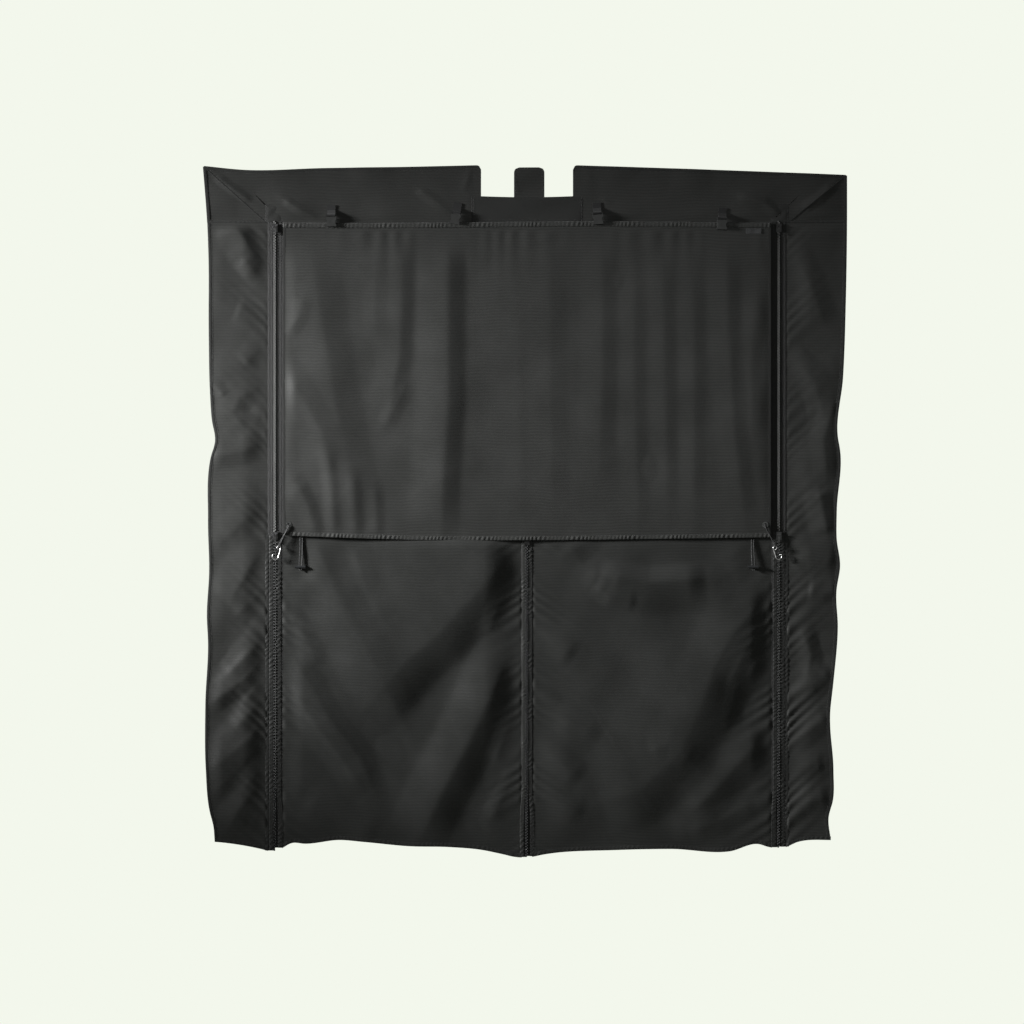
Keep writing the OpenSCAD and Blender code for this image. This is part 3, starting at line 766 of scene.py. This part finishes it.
def gusset_pieces():
    """The two triangles between the mitred header and the wings, with the seams over the mitres."""
    b = Builder()
    for s, points in ((-1, LEFT_EDGE), (1, RIGHT_EDGE)):
        top_z = 0.117 if s < 0 else 0.093
        rows, cols = count(0.15), count(0.165)
        u, v = np.meshgrid(np.linspace(0, 1, cols), np.linspace(0, 1, rows))
        z = top_z + (SEAM_Z - top_z) * v
        outer = curve_through(points, z)
        mitre = s * (CORNER_X[s] + (PANEL_EDGE + 8 * MM - CORNER_X[s]) * v)
        inner = mitre - s * 2.5 * MM
        inner = np.where(np.abs(inner) > np.abs(outer), outer, inner)
        x = outer * (1 - u) + inner * u if s < 0 else inner * (1 - u) + outer * u
        b.shell(surface(x, z, PANEL_FRONT - 1.1 * MM, header_relief), 0.8 * MM, pairs(x, z))
        seam, height = mitre[1:, 0], z[1:, 0]
        lift = PANEL_FRONT + header_relief(seam, height)
        band(b, seam, height, lift, 2.4 * MM, 0.5 * MM, 1)
        stitches(b, pairs(seam - s * 4.5 * MM, height), lift + 0.2 * MM, 2, radius=0.3 * MM)
        rim = outer[:, 0] - s * 4 * MM
        band(b, rim, z[:, 0], PANEL_FRONT + header_relief(rim, z[:, 0]), 4.2 * MM, 0.4 * MM, 1)
    piece = cloth_piece("corner_gusset_cloth", b, PANEL_PAINTS, ["corner_gussets"])
    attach(piece, "panel")


def wing_piece(side, s):
    """A gathered wing from its zip out to its wavy edge, with its rim, foot hem and top seam."""
    edge_points = LEFT_EDGE if s < 0 else RIGHT_EDGE
    cols, rows = count(0.165, 4.5 * MM), count(1.68)
    u, v = np.meshgrid(np.linspace(0, 1, cols), np.linspace(0, 1, rows))
    outer = curve_through(edge_points, SEAM_Z + (edge_points[-1][0] - SEAM_Z) * v)
    x = s * PANEL_EDGE * (1 - u) + outer * u
    bottom = curve_through(BOTTOM_EDGE, x[-1])
    z = SEAM_Z + 6 * MM + (bottom[None, :] - SEAM_Z - 6 * MM) * v
    if s < 0:
        x, z = x[:, ::-1], z[:, ::-1]
    b = Builder()
    b.shell(surface(x, z, PANEL_FRONT - 0.4 * MM, wing_relief), 1.3 * MM, pairs(x, z))
    edge = 0 if s < 0 else -1
    rim, height = x[:, edge] - s * 4 * MM, z[:, edge]
    depth = PANEL_FRONT + wing_relief(rim, height)
    band(b, rim, height, depth, 4.2 * MM, 0.4 * MM, 1, pucker=0.35 * MM)
    stitches(b, pairs(rim - s * 5.6 * MM, height), depth + 0.4 * MM, 2)
    fine = np.sort(np.linspace(s * PANEL_EDGE, x[-1, edge], 60))
    foot = curve_through(BOTTOM_EDGE, fine) + 5 * MM
    level_band(b, fine, foot, PANEL_FRONT + wing_relief(fine, foot), 5 * MM, 1, pucker=0.6 * MM)
    seam = np.sort(np.linspace(s * (PANEL_EDGE + 6 * MM), x[0, edge], 60))
    level_band(b, seam, upright(SEAM_Z, seam), upright(PANEL_FRONT, seam), 2.6 * MM, 1, pucker=0.5 * MM)
    stitches(b, pairs(seam, upright(SEAM_Z + 6 * MM, seam)), PANEL_FRONT + 0.3 * MM, 2)
    piece = cloth_piece(f"wing_{side}_cloth", b, PANEL_PAINTS, [f"wing_{side}"])
    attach(piece, "panel")


for wing_side, sign in SIDES.items():
    header_piece(wing_side, sign)
    wing_piece(wing_side, sign)
gusset_pieces()


def strip_limits(prefix, top, foot):
    """Heights where the strips of cloth begin and end: the top, the middle of each moving strip, the foot."""
    return [top] + [middle(f"{prefix}_{i}").z for i in range(2, 7)] + [foot]


def rolling_cloth(limits, x_line, bottom, depth, relief):
    """One sheet from the first limit to its bottom curve: levels, grid and cut, and each strip's rows."""
    levels, ends = [], [0]
    for high, low in zip(limits, limits[1:]):
        part = np.linspace(high, low, count(high - low))
        levels += list(part if not levels else part[1:])
        ends.append(len(levels) - 1)
    x, z = np.meshgrid(x_line, np.array(levels))
    last = ends[-2]
    share = (z[last:] - z[last]) / (z[-1] - z[last])
    z[last:] += share * (curve_through(bottom, x_line)[None, :] - limits[-1])
    front = surface(x, z, depth, relief)
    rows = [slice(a, b + 1) for a, b in zip(ends, ends[1:])]
    return z, front, grid_normals(front), pairs(x, z), rows


def rolling_piece(prefix, k, b, paints):
    """Names strip k, hides the CAD strips that it stands for, and bakes its placement into its points."""
    nodes = [f"{prefix}_1", f"{prefix}_2"] if k == 0 else [f"{prefix}_{k + 2}"]
    piece = cloth_piece(f"{prefix}_cloth_{k + 1}", b, paints, nodes)
    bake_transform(piece)


# ---------------------------------------------------------------- window cover
def cover_pieces():
    """The window cover in six strips, with its side hems and the puckered hem at its foot."""
    limits = strip_limits("cover", SEAM_Z - 2 * MM, COVER_FOOT)
    x_line = np.linspace(-COVER_EDGE, COVER_EDGE, count(2 * COVER_EDGE))
    z, front, normals, cuts, strips = rolling_cloth(limits, x_line, COVER_BOTTOM, COVER_FRONT, cover_relief)
    for k, rows in enumerate(strips):
        b = Builder()
        b.shell(front[rows], 0.9 * MM, cuts[rows], 0, normals[rows], (k == 0, k == STRIPS - 1, True, True))
        for s in (-1, 1):
            level = z[rows, 0]
            edge = upright(s * (COVER_EDGE - 4 * MM), level)
            depth = COVER_FRONT - 0.1 * MM + cover_relief(edge, level)
            band(b, edge, level, depth, 4.5 * MM, 0.2 * MM, 1, pucker=0.25 * MM, seed=k)
        if k == STRIPS - 1:
            bottom = curve_through(COVER_BOTTOM, x_line)
            lift = cover_relief(x_line, bottom + 4 * MM)
            fine = np.linspace(-COVER_EDGE, COVER_EDGE, count(2 * COVER_EDGE, 2.4 * MM))
            low = curve_through(COVER_BOTTOM, fine)
            depth = COVER_FRONT + np.interp(fine, x_line, lift)
            # The foot hem uses the lighter hem copy: painted highlight.
            level_band(b, fine, low + 5 * MM, depth, 5.5 * MM, 2)
            stitches(b, pairs(fine, low + 9.2 * MM), depth + 1.5 * MM, 3)
        paints = [cover_cloth, hem_cloth, painted_highlight_hem, thread]
        rolling_piece("cover", k, b, paints)


def cover_hem():
    """The puckered binding that holds the cover's top edge under the header."""
    b = Builder()
    fine = np.linspace(-COVER_EDGE, COVER_EDGE, count(2 * COVER_EDGE, 2.4 * MM))
    z = SEAM_Z - 8 * MM + 2.2 * MM * np.sin(fine * 5.1 + 0.6)
    # The binding uses the lighter hem copy: painted highlight.
    level_band(b, fine, z, upright(COVER_FRONT + 0.4 * MM, fine), 7 * MM, 0, crown=0.9 * MM)
    for row in (-4.5 * MM, 4.5 * MM):
        stitches(b, pairs(fine, z + row), COVER_FRONT + 2.2 * MM, 1)
    piece = cloth_piece("cover_top_hem", b, [painted_highlight_hem, thread], [], custom=False)
    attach(piece, "panel")


cover_pieces()
cover_hem()


def teeth(b, line, z0, z1, paint, rows=(-1, 1), pitch=7.6 * MM):
    """Interlocking moulded teeth: two rows of blocks, half a pitch apart, over the tapes' beaded edges."""
    ring = [(-1, -1), (1, -1), (1, 1), (-1, 1)]
    corners = [(a, depth, up) for up in (-1, 1) for a, depth in ring]
    sides = [(0, 3, 2, 1), (4, 5, 6, 7), (0, 1, 5, 4), (1, 2, 6, 5), (2, 3, 7, 6), (3, 0, 4, 7)]
    verts, faces, cuts = [], [], []
    for row in rows:
        for level in np.arange(z0 - pitch * (0.5 if row < 0 else 1.0), z1, -pitch):
            base = len(verts)
            for a, depth, up in corners:
                taper = 0.7 if depth < 0 else 1.0
                verts.append((line + row * 1.7 * MM + a * 2.0 * MM * taper, -3.0 * MM + depth * 1.3 * MM,
                              level + up * pitch * 0.3 * taper))
                cuts.append((a * MM, up * MM))
            faces += [[base + i for i in side] for side in sides]
    b.add(verts, cuts, faces, paint)


def hem_level(x):
    """Just above the curtain's bottom edge."""
    return float(curve_through(BOTTOM_EDGE, x)) + 1 * MM


def door_pieces(side, s):
    """A door leaf in six strips, with its halves of the zips, its plackets and its foot hem."""
    prefix = f"door_{side}"
    limits = strip_limits(prefix, DOOR_TOP + 10 * MM, DOOR_FOOT)
    x_line = np.sort(s * np.linspace(14 * MM, LEAF_EDGE, count(LEAF_EDGE, 5.5 * MM)))
    _, front, normals, cuts, strips = rolling_cloth(limits, x_line, BOTTOM_EDGE, PANEL_FRONT, door_relief)
    for k, rows in enumerate(strips):
        lowest = k == STRIPS - 1
        b = Builder()
        b.shell(front[rows], 1.6 * MM, cuts[rows], 0, normals[rows], (k == 0, lowest, True, True))
        for meeting, away in ((s * ZIP_X, -s), (0, s)):
            low = hem_level(meeting + away * 20 * MM) if lowest else limits[k + 1]
            level = np.linspace(limits[k], low, count(limits[k] - low, 4 * MM))
            edge = upright(meeting + away * 11.1 * MM, level)
            band(b, edge, level, 1.6 * MM, 11 * MM, 0.3 * MM, 4, thick=0.4 * MM)
            teeth(b, meeting, limits[k], low, 5, rows=(away,))
        side_line, centre_line = s * (ZIP_X - 9.6 * MM), s * 8.8 * MM
        # The left leaf's centre placket takes the lighter hem copy and the right's the plain hem cloth:
        # painted highlight on the side nearer the key.
        centre_paint_lit_on_left = 2 if s < 0 else 1
        for line, away, half, paint, seed in ((side_line, -s, 6.6 * MM, 1, 2),
                                              (centre_line, s, 5.6 * MM, centre_paint_lit_on_left, 5)):
            low = hem_level(line + away * 10 * MM) if lowest else limits[k + 1]
            level = np.linspace(limits[k], low, count(limits[k] - low, 2.4 * MM))
            flare = 5 * MM * smooth((level[0] - level) / 0.09) if lowest else 0
            placket(b, upright(line, level) + away * flare, level, half, paint, 3, seed + s)
        if lowest:
            fine = np.linspace(x_line[0], x_line[-1], count(x_line[-1] - x_line[0], 3 * MM))
            low = curve_through(BOTTOM_EDGE, fine)
            depth = PANEL_FRONT + door_relief(fine, low + 5 * MM)
            level_band(b, fine, low + 6 * MM, depth + 0.2 * MM, 6 * MM, 1, pucker=0.7 * MM)
        paints = [door_cloth, hem_cloth, painted_highlight_hem, thread, tape_cloth, dark_nylon]
        rolling_piece(prefix, k, b, paints)


for leaf_side, sign in SIDES.items():
    door_pieces(leaf_side, sign)


# ---------------------------------------------------------------- insect screen, seen from the van's side
def screen_piece():
    """The mesh behind the cover."""
    b = Builder()
    x, z = np.meshgrid(np.linspace(SCREEN_LOW.x, SCREEN_HIGH.x, count(1.32, 12 * MM)),
                       np.linspace(SCREEN_HIGH.z, DOOR_TOP + 9 * MM, count(0.85, 12 * MM)))
    sag = 0.25 * MM * np.sin(x * 9) * np.sin(z * 7)
    b.shell(np.stack([x, -0.8 * MM + sag, z], -1), 0.5 * MM, pairs(x, z))
    piece = cloth_piece("screen_cloth", b, [screen_mesh], ["window_screen"])
    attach(piece, "panel")


screen_piece()


# ---------------------------------------------------------------- side zips
def side_zip(side, s):
    """A side zip: both tapes above the leaves, and below them the wing's tape, placket and piped edge."""
    line = s * ZIP_X
    top = SEAM_Z + 5 * MM
    bottom = hem_level(line + s * 20 * MM)
    b = Builder()
    level = np.linspace(top, DOOR_TOP, count(top - DOOR_TOP, 4 * MM))
    for t in (-1, 1):
        width = 10 * MM if t == s else 12 * MM
        half_tape = upright(line + t * (width + 0.1 * MM), level)
        band(b, half_tape, level, 2.0 * MM, width, 0.3 * MM, 0, pucker=0.1 * MM, thick=0.5 * MM)
        for row in (15.5 * MM, 8.5 * MM):
            stitches(b, pairs(upright(line + t * row, level), level), 2.7 * MM, 2, radius=0.35 * MM)
    teeth(b, line, top, DOOR_TOP, 1)
    level = np.linspace(DOOR_TOP + 4 * MM, bottom, count(DOOR_TOP - bottom, 2.4 * MM))
    band(b, upright(line + s * 10.1 * MM, level), level, 1.6 * MM, 10 * MM, 0.3 * MM, 0, thick=0.4 * MM)
    teeth(b, line, DOOR_TOP, bottom, 4, rows=(s,))
    placket(b, upright(line + s * 9.6 * MM, level), level, 6.6 * MM, 3, 2, 3 * s)
    edge = upright(line + s * 21.5 * MM, level)
    band(b, edge, level, 2.1 * MM, 5 * MM, 0.3 * MM, 3, pucker=0.9 * MM, seed=s, period=14 * MM,
         thick=0.4 * MM)
    paints = [tape_cloth, teeth_nylon, thread, hem_cloth, dark_nylon]
    piece = cloth_piece(f"zip_{side}", b, paints, [f"zip_tape_{side}"])
    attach(piece, "panel")


for zip_side, sign in SIDES.items():
    side_zip(zip_side, sign)


# ---------------------------------------------------------------- sewn details of the header
def painted_fold_shadow(b, x, z, half, level=False):
    """A narrow band in dark tape cloth along the edge of a sewn-on patch: painted shadow of its fold."""
    band(b, x, z, 2.2 * MM, half, 0.2 * MM, 2, level=level, thick=0.4 * MM)


def zip_caps():
    """The square caps sewn over the tops of the side zips."""
    b = Builder()
    half, top, height = 22 * MM, 15 * MM, 48 * MM
    for s in (-1, 1):
        middle_x = s * (ZIP_X + 3 * MM)
        x, z = np.meshgrid(np.linspace(-1, 1, 12), np.linspace(0, 1, 14))
        px = middle_x + x * half * (1 - 0.06 * np.sin(z * 3))
        pz = top - z * height
        crown = np.maximum((1 - x**6) * (1 - (1 - z) ** 8), 0)
        lift = 0.7 * MM * crown + 0.3 * MM * np.sin(z * 9 + x * 3) * crown
        b.shell(np.stack([px, -(2.4 * MM + lift), pz], -1), 0.8 * MM, pairs(px, pz))
        down = np.linspace(top, top - height, 12)
        # Dark bands along the cap's edges: painted shadow.
        for edge in (-0.97, 0.97):
            painted_fold_shadow(b, upright(middle_x + edge * half, down), down, 1.8 * MM)
        across = middle_x + np.linspace(-half, half, 12)
        painted_fold_shadow(b, across, upright(14.5 * MM, across), 1.6 * MM, level=True)
    piece = cloth_piece("zip_cap_cloth", b, [hem_cloth, thread, tape_cloth], ["zip_caps"])
    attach(piece, "panel")


def patch_piece():
    """The patch that bridges the notch."""
    low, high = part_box("centre_patch")
    b = Builder()
    u, v = np.meshgrid(np.linspace(0, 1, 60), np.linspace(0, 1, 18))
    x = low.x + (high.x - low.x) * u
    foot = SEAM_Z - 10 * MM
    z = high.z + (foot - high.z) * v - 3.5 * MM * np.sin(math.pi * u) * (1 - v)
    crown = np.maximum((1 - (2 * u - 1) ** 24) * (1 - (1 - v) ** 10), 0)
    lift = (0.6 * MM * np.sin(x * 31 + 1) * np.sin(z * 60) + 0.6 * MM) * crown
    b.shell(np.stack([x, -(2.3 * MM + lift), z], -1), 1.5 * MM, pairs(x, z))
    frame_line = [(low.x + 5 * MM, high.z - 8 * MM), (low.x + 5 * MM, low.z + 6 * MM),
                  (high.x - 5 * MM, low.z + 6 * MM), (high.x - 5 * MM, high.z - 8 * MM)]
    stitches(b, frame_line, 3.4 * MM, 1)
    down = np.linspace(high.z - 2 * MM, foot, 12)
    # Dark bands along the patch's sides: painted shadow.
    for edge_x in (low.x, high.x):
        painted_fold_shadow(b, upright(edge_x, down), down, 1.5 * MM)
    paints = [hem_cloth, thread, tape_cloth]
    piece = cloth_piece("centre_patch_cloth", b, paints, ["centre_patch"])
    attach(piece, "panel")


def tab_piece():
    """The rounded tab that stands in the notch."""
    low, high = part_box("centre_tab")
    b = Builder()
    u, v = np.meshgrid(np.linspace(0, 1, 24), np.linspace(0, 1, 24))
    radius = 14 * MM
    top = high.z - v * (high.z - low.z + 5 * MM)
    inset = np.clip(radius - (high.z - top), 0, radius)
    half = (high.x - low.x) / 2 - (radius - np.sqrt(np.maximum(radius**2 - inset**2, 0)))
    x = (low.x + high.x) / 2 + (2 * u - 1) * half
    lift = 0.9 * MM * np.sin(v * 5 + u * 2)
    b.shell(np.stack([x, -(2.2 * MM + lift), top], -1), 1.8 * MM, pairs(x, top))
    for share in (0.07, 0.93):
        seam_x = low.x + share * (high.x - low.x)
        stitches(b, [(seam_x, high.z - 14 * MM), (seam_x, low.z + 8 * MM)], 3.4 * MM, 1)
    piece = cloth_piece("centre_tab_cloth", b, [panel_cloth, thread], ["centre_tab"])
    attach(piece, "panel")


zip_caps()
patch_piece()
tab_piece()


# ---------------------------------------------------------------- label
def label_piece():
    """A blank woven label with a stitched border."""
    low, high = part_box("label")
    b = Builder()
    x, z = np.meshgrid(np.linspace(low.x, high.x, 16), np.linspace(high.z, low.z, 8))
    depth = COVER_FRONT + 1.4 * MM + cover_relief(x, z) + 0.3 * MM * np.sin(x * 150)
    b.shell(np.stack([x, -depth, z], -1), 0.5 * MM, pairs(x, z))
    margin = 2 * MM
    left, right, foot, top = low.x + margin, high.x - margin, low.z + margin, high.z - margin
    border = [(left, top), (right, top), (right, foot), (left, foot), (left, top)]
    near_middle = (0.61, -0.057)
    relief = float(cover_relief(*(np.array([place]) for place in near_middle))[0])
    stitches(b, border, COVER_FRONT + 2.0 * MM + relief, 1, pitch=2.6 * MM, length=1.8 * MM, radius=0.3 * MM)
    piece = cloth_piece("label_cloth_tag", b, [label_cloth, thread], ["label"])
    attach(piece, "panel")


label_piece()


# ---------------------------------------------------------------- cords and hooks
def tube_piece(name, points, diameter, material, sides=12):
    """A smooth cord or wire through points in metres, as a mesh tube with round ends."""
    points = np.asarray(points, float)
    along = distances(points)
    at = np.linspace(0, along[-1], max(24, int(along[-1] / (diameter * 0.7))))
    line = np.stack([curve_through(list(zip(along, points[:, k])), at) for k in range(3)], -1)
    tangent = np.gradient(line, axis=0)
    tangent /= np.linalg.norm(tangent, axis=1, keepdims=True)
    side = np.cross(tangent[0], (0.31, 0.42, 0.85))
    verts, cuts, faces = [], [], []
    run = distances(line)
    for k in range(len(line)):
        side = side - tangent[k] * np.dot(side, tangent[k])
        side /= np.linalg.norm(side)
        other = np.cross(tangent[k], side)
        for j in range(sides):
            a = 2 * math.pi * j / sides
            verts.append(line[k] + diameter / 2 * (math.cos(a) * side + math.sin(a) * other))
            cuts.append((j / sides * math.pi * diameter, run[k]))
    for k in range(len(line) - 1):
        for j in range(sides):
            a, c = k * sides + j, k * sides + (j + 1) % sides
            faces.append([a, c, c + sides, a + sides])
    faces.append(list(range(sides))[::-1])
    faces.append([(len(line) - 1) * sides + j for j in range(sides)])
    b = Builder()
    b.add(verts, cuts, faces, 0)
    piece = b.build(name, [material])
    return piece, line


ELASTIC_ROUTE = [(641, -4.8, -849), (641, -8, -849), (641.3, -10.4, -851), (643, -11.6, -856),
                 (647, -12, -864), (652, -12, -873), (657, -12, -882), (661, -12.2, -891),
                 (664.5, -13, -899), (667, -14.2, -904), (669, -15, -907), (669.2, -14.6, -910),
                 (669.2, -12.6, -910.9), (669.2, -10.6, -909.8), (669.4, -9.6, -906),
                 (668, -9.6, -900), (664, -9.8, -892), (659, -10, -884), (654, -10.2, -875),
                 (650, -10.4, -866), (646.6, -10.6, -858), (645.2, -10, -852), (645, -8, -849),
                 (645, -4.8, -849)]
TOGGLE_ROUTE = [(606, -4, -882), (606, -4.1, -890), (606, -4.6, -900), (606, -5.4, -912),
                (606, -6.2, -925), (606.4, -7, -938), (607, -7.6, -948), (607.6, -8, -955.4),
                (608, -8, -964), (609, -8, -971.6), (611, -8, -973), (613, -8, -971.6),
                (614, -8, -964), (614, -8, -955.4), (614, -7.6, -948), (613.6, -7, -938),
                (613, -6.2, -925), (612.4, -5.4, -912), (612, -4.6, -900), (612, -4.1, -890),
                (612, -4, -882)]
EYE_R, HOOK_R, SHANK, LEAN, WIRE = 5.0, 8.0, 25.0, math.radians(16), 2.6
HOOK_PLACE = (669, -12.6, -912)


def route(points, s):
    return [(s * x * MM, y * MM, z * MM) for x, y, z in points]


def wire_route():
    """The hook's bent wire: a curled eye, the shank and the open hook."""
    eye, hook = np.radians(np.arange(-110, 181, 14.5)), np.radians(np.arange(180, 396, 10.75))
    x = np.concatenate([EYE_R * np.cos(eye), [-EYE_R] * 3, HOOK_R - EYE_R + HOOK_R * np.cos(hook)])
    z = np.concatenate([EYE_R * np.sin(eye), -SHANK / 4 * np.arange(1, 4), -SHANK + HOOK_R * np.sin(hook)])
    across = HOOK_PLACE[0] + x * math.cos(LEAN) - z * math.sin(LEAN)
    up = HOOK_PLACE[2] + z * math.cos(LEAN) + x * math.sin(LEAN)
    return [(a, HOOK_PLACE[1], b) for a, b in zip(across.tolist(), up.tolist())]


def hanging_cord(name, points, diameter, body, stands_for):
    cord, line = tube_piece(name, points, diameter, cord_cloth)
    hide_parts(stands_for)
    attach(cord, body)


for name, sign in SIDES.items():
    hook, _ = tube_piece(f"wire_hook_{name}", route(wire_route(), sign), WIRE * MM, hook_metal, 14)
    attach(hook, "cover_strip_7")
    hanging_cord(f"elastic_{name}", route(ELASTIC_ROUTE, sign), 2.4 * MM, "cover_strip_7",
                 f"elastic_loop_{name}")
    hanging_cord(f"toggle_string_{name}", route(TOGGLE_ROUTE, sign), 2.6 * MM, "panel", f"toggle_cord_{name}")
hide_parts("corner_hooks")

# ---------------------------------------------------------------- CAD pieces that stay, with their finish
FINISHES = {"webbing_tabs": webbing_cloth, "roll_straps": webbing_cloth, "strap_plugs": buckle_plastic,
            "magnets": magnet_metal, "grommets": grommet_metal, "toggles": toggle_plastic}
for k in range(1, 5):
    FINISHES[f"buckle_{k}"] = buckle_plastic
for place in ("upper_left", "upper_right", "lower_left", "lower_right", "centre"):
    FINISHES[f"slider_{place}"] = zip_metal
    FINISHES[f"pull_{place}"] = pull_metal
FINISHES["slider_upper_right"] = FINISHES["pull_upper_right"] = FINISHES["slider_centre"] = dark_metal
for node, material in FINISHES.items():
    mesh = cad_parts[node].data
    mesh.materials.clear()
    mesh.materials.append(material)

# ---------------------------------------------------------------- stage and light
FLOOR_Z = -2.7
floor_mesh = bpy.data.meshes.new("floor")
floor_corners = [(-2, -1.6), (2, -1.6), (2, 1.6), (-2, 1.6)]
floor_mesh.from_pydata([(x, y, FLOOR_Z) for x, y in floor_corners], [], [(0, 1, 2, 3)])
floor = bpy.data.objects.new("floor", floor_mesh)
bpy.context.collection.objects.link(floor)
floor_material, _, floor_shader = new_material("floor")
floor_shader.inputs["Base Color"].default_value = (0.85, 0.87, 0.82, 1)
floor_shader.inputs["Roughness"].default_value = 0.8
floor_mesh.materials.append(floor_material)

bpy.context.scene.view_settings.view_transform = "Standard"
world = bpy.data.worlds.new("studio")
bpy.context.scene.world = world
world.use_nodes = True
sky = world.node_tree
sky.nodes.clear()


def background(colour, strength):
    node = sky.nodes.new("ShaderNodeBackground")
    node.inputs["Color"].default_value = colour
    node.inputs["Strength"].default_value = strength
    return node.outputs[0]


# The camera sees a pale studio, which lights the cloth only a little.
mix = sky.nodes.new("ShaderNodeMixShader")
link(sky, sky.nodes.new("ShaderNodeLightPath").outputs["Is Camera Ray"], mix.inputs["Fac"])
link(sky, background((0.97, 1.0, 0.93, 1), 0.075), mix.inputs[1])
link(sky, background((0.896, 0.93, 0.84, 1), 1.0), mix.inputs[2])
link(sky, mix.outputs[0], sky.nodes.new("ShaderNodeOutputWorld").inputs["Surface"])


def lamp(name, kind, place, target, power):
    """A light of the given kind and power that stands at a place and points at a target."""
    data = bpy.data.lights.new(name, kind)
    data.energy = power
    stand = bpy.data.objects.new(name, data)
    stand.location = place
    stand.rotation_euler = (Vector(target) - Vector(place)).to_track_quat("-Z", "Y").to_euler()
    bpy.context.collection.objects.link(stand)
    return data


# The key rakes across from the left, a weak fill stands in front, and the back light shows the other side.
key = lamp("key", "SPOT", (-4.2, -0.95, 0.35), (-0.68, 0, -0.66), 2640)
key.shadow_soft_size = 0.34
key.spot_size, key.spot_blend = math.radians(32), 1.0
fill = lamp("fill", "AREA", (0.4, -2.6, 0.9), (0.1, 0, -0.5), 4)
back = lamp("back", "AREA", (0.5, 4, 1.0), (0, 0, -0.9), 90)
for panel, width, height in ((fill, 0.9, 0.6), (back, 3, 3)):
    panel.shape = "RECTANGLE"
    panel.size, panel.size_y = width, height
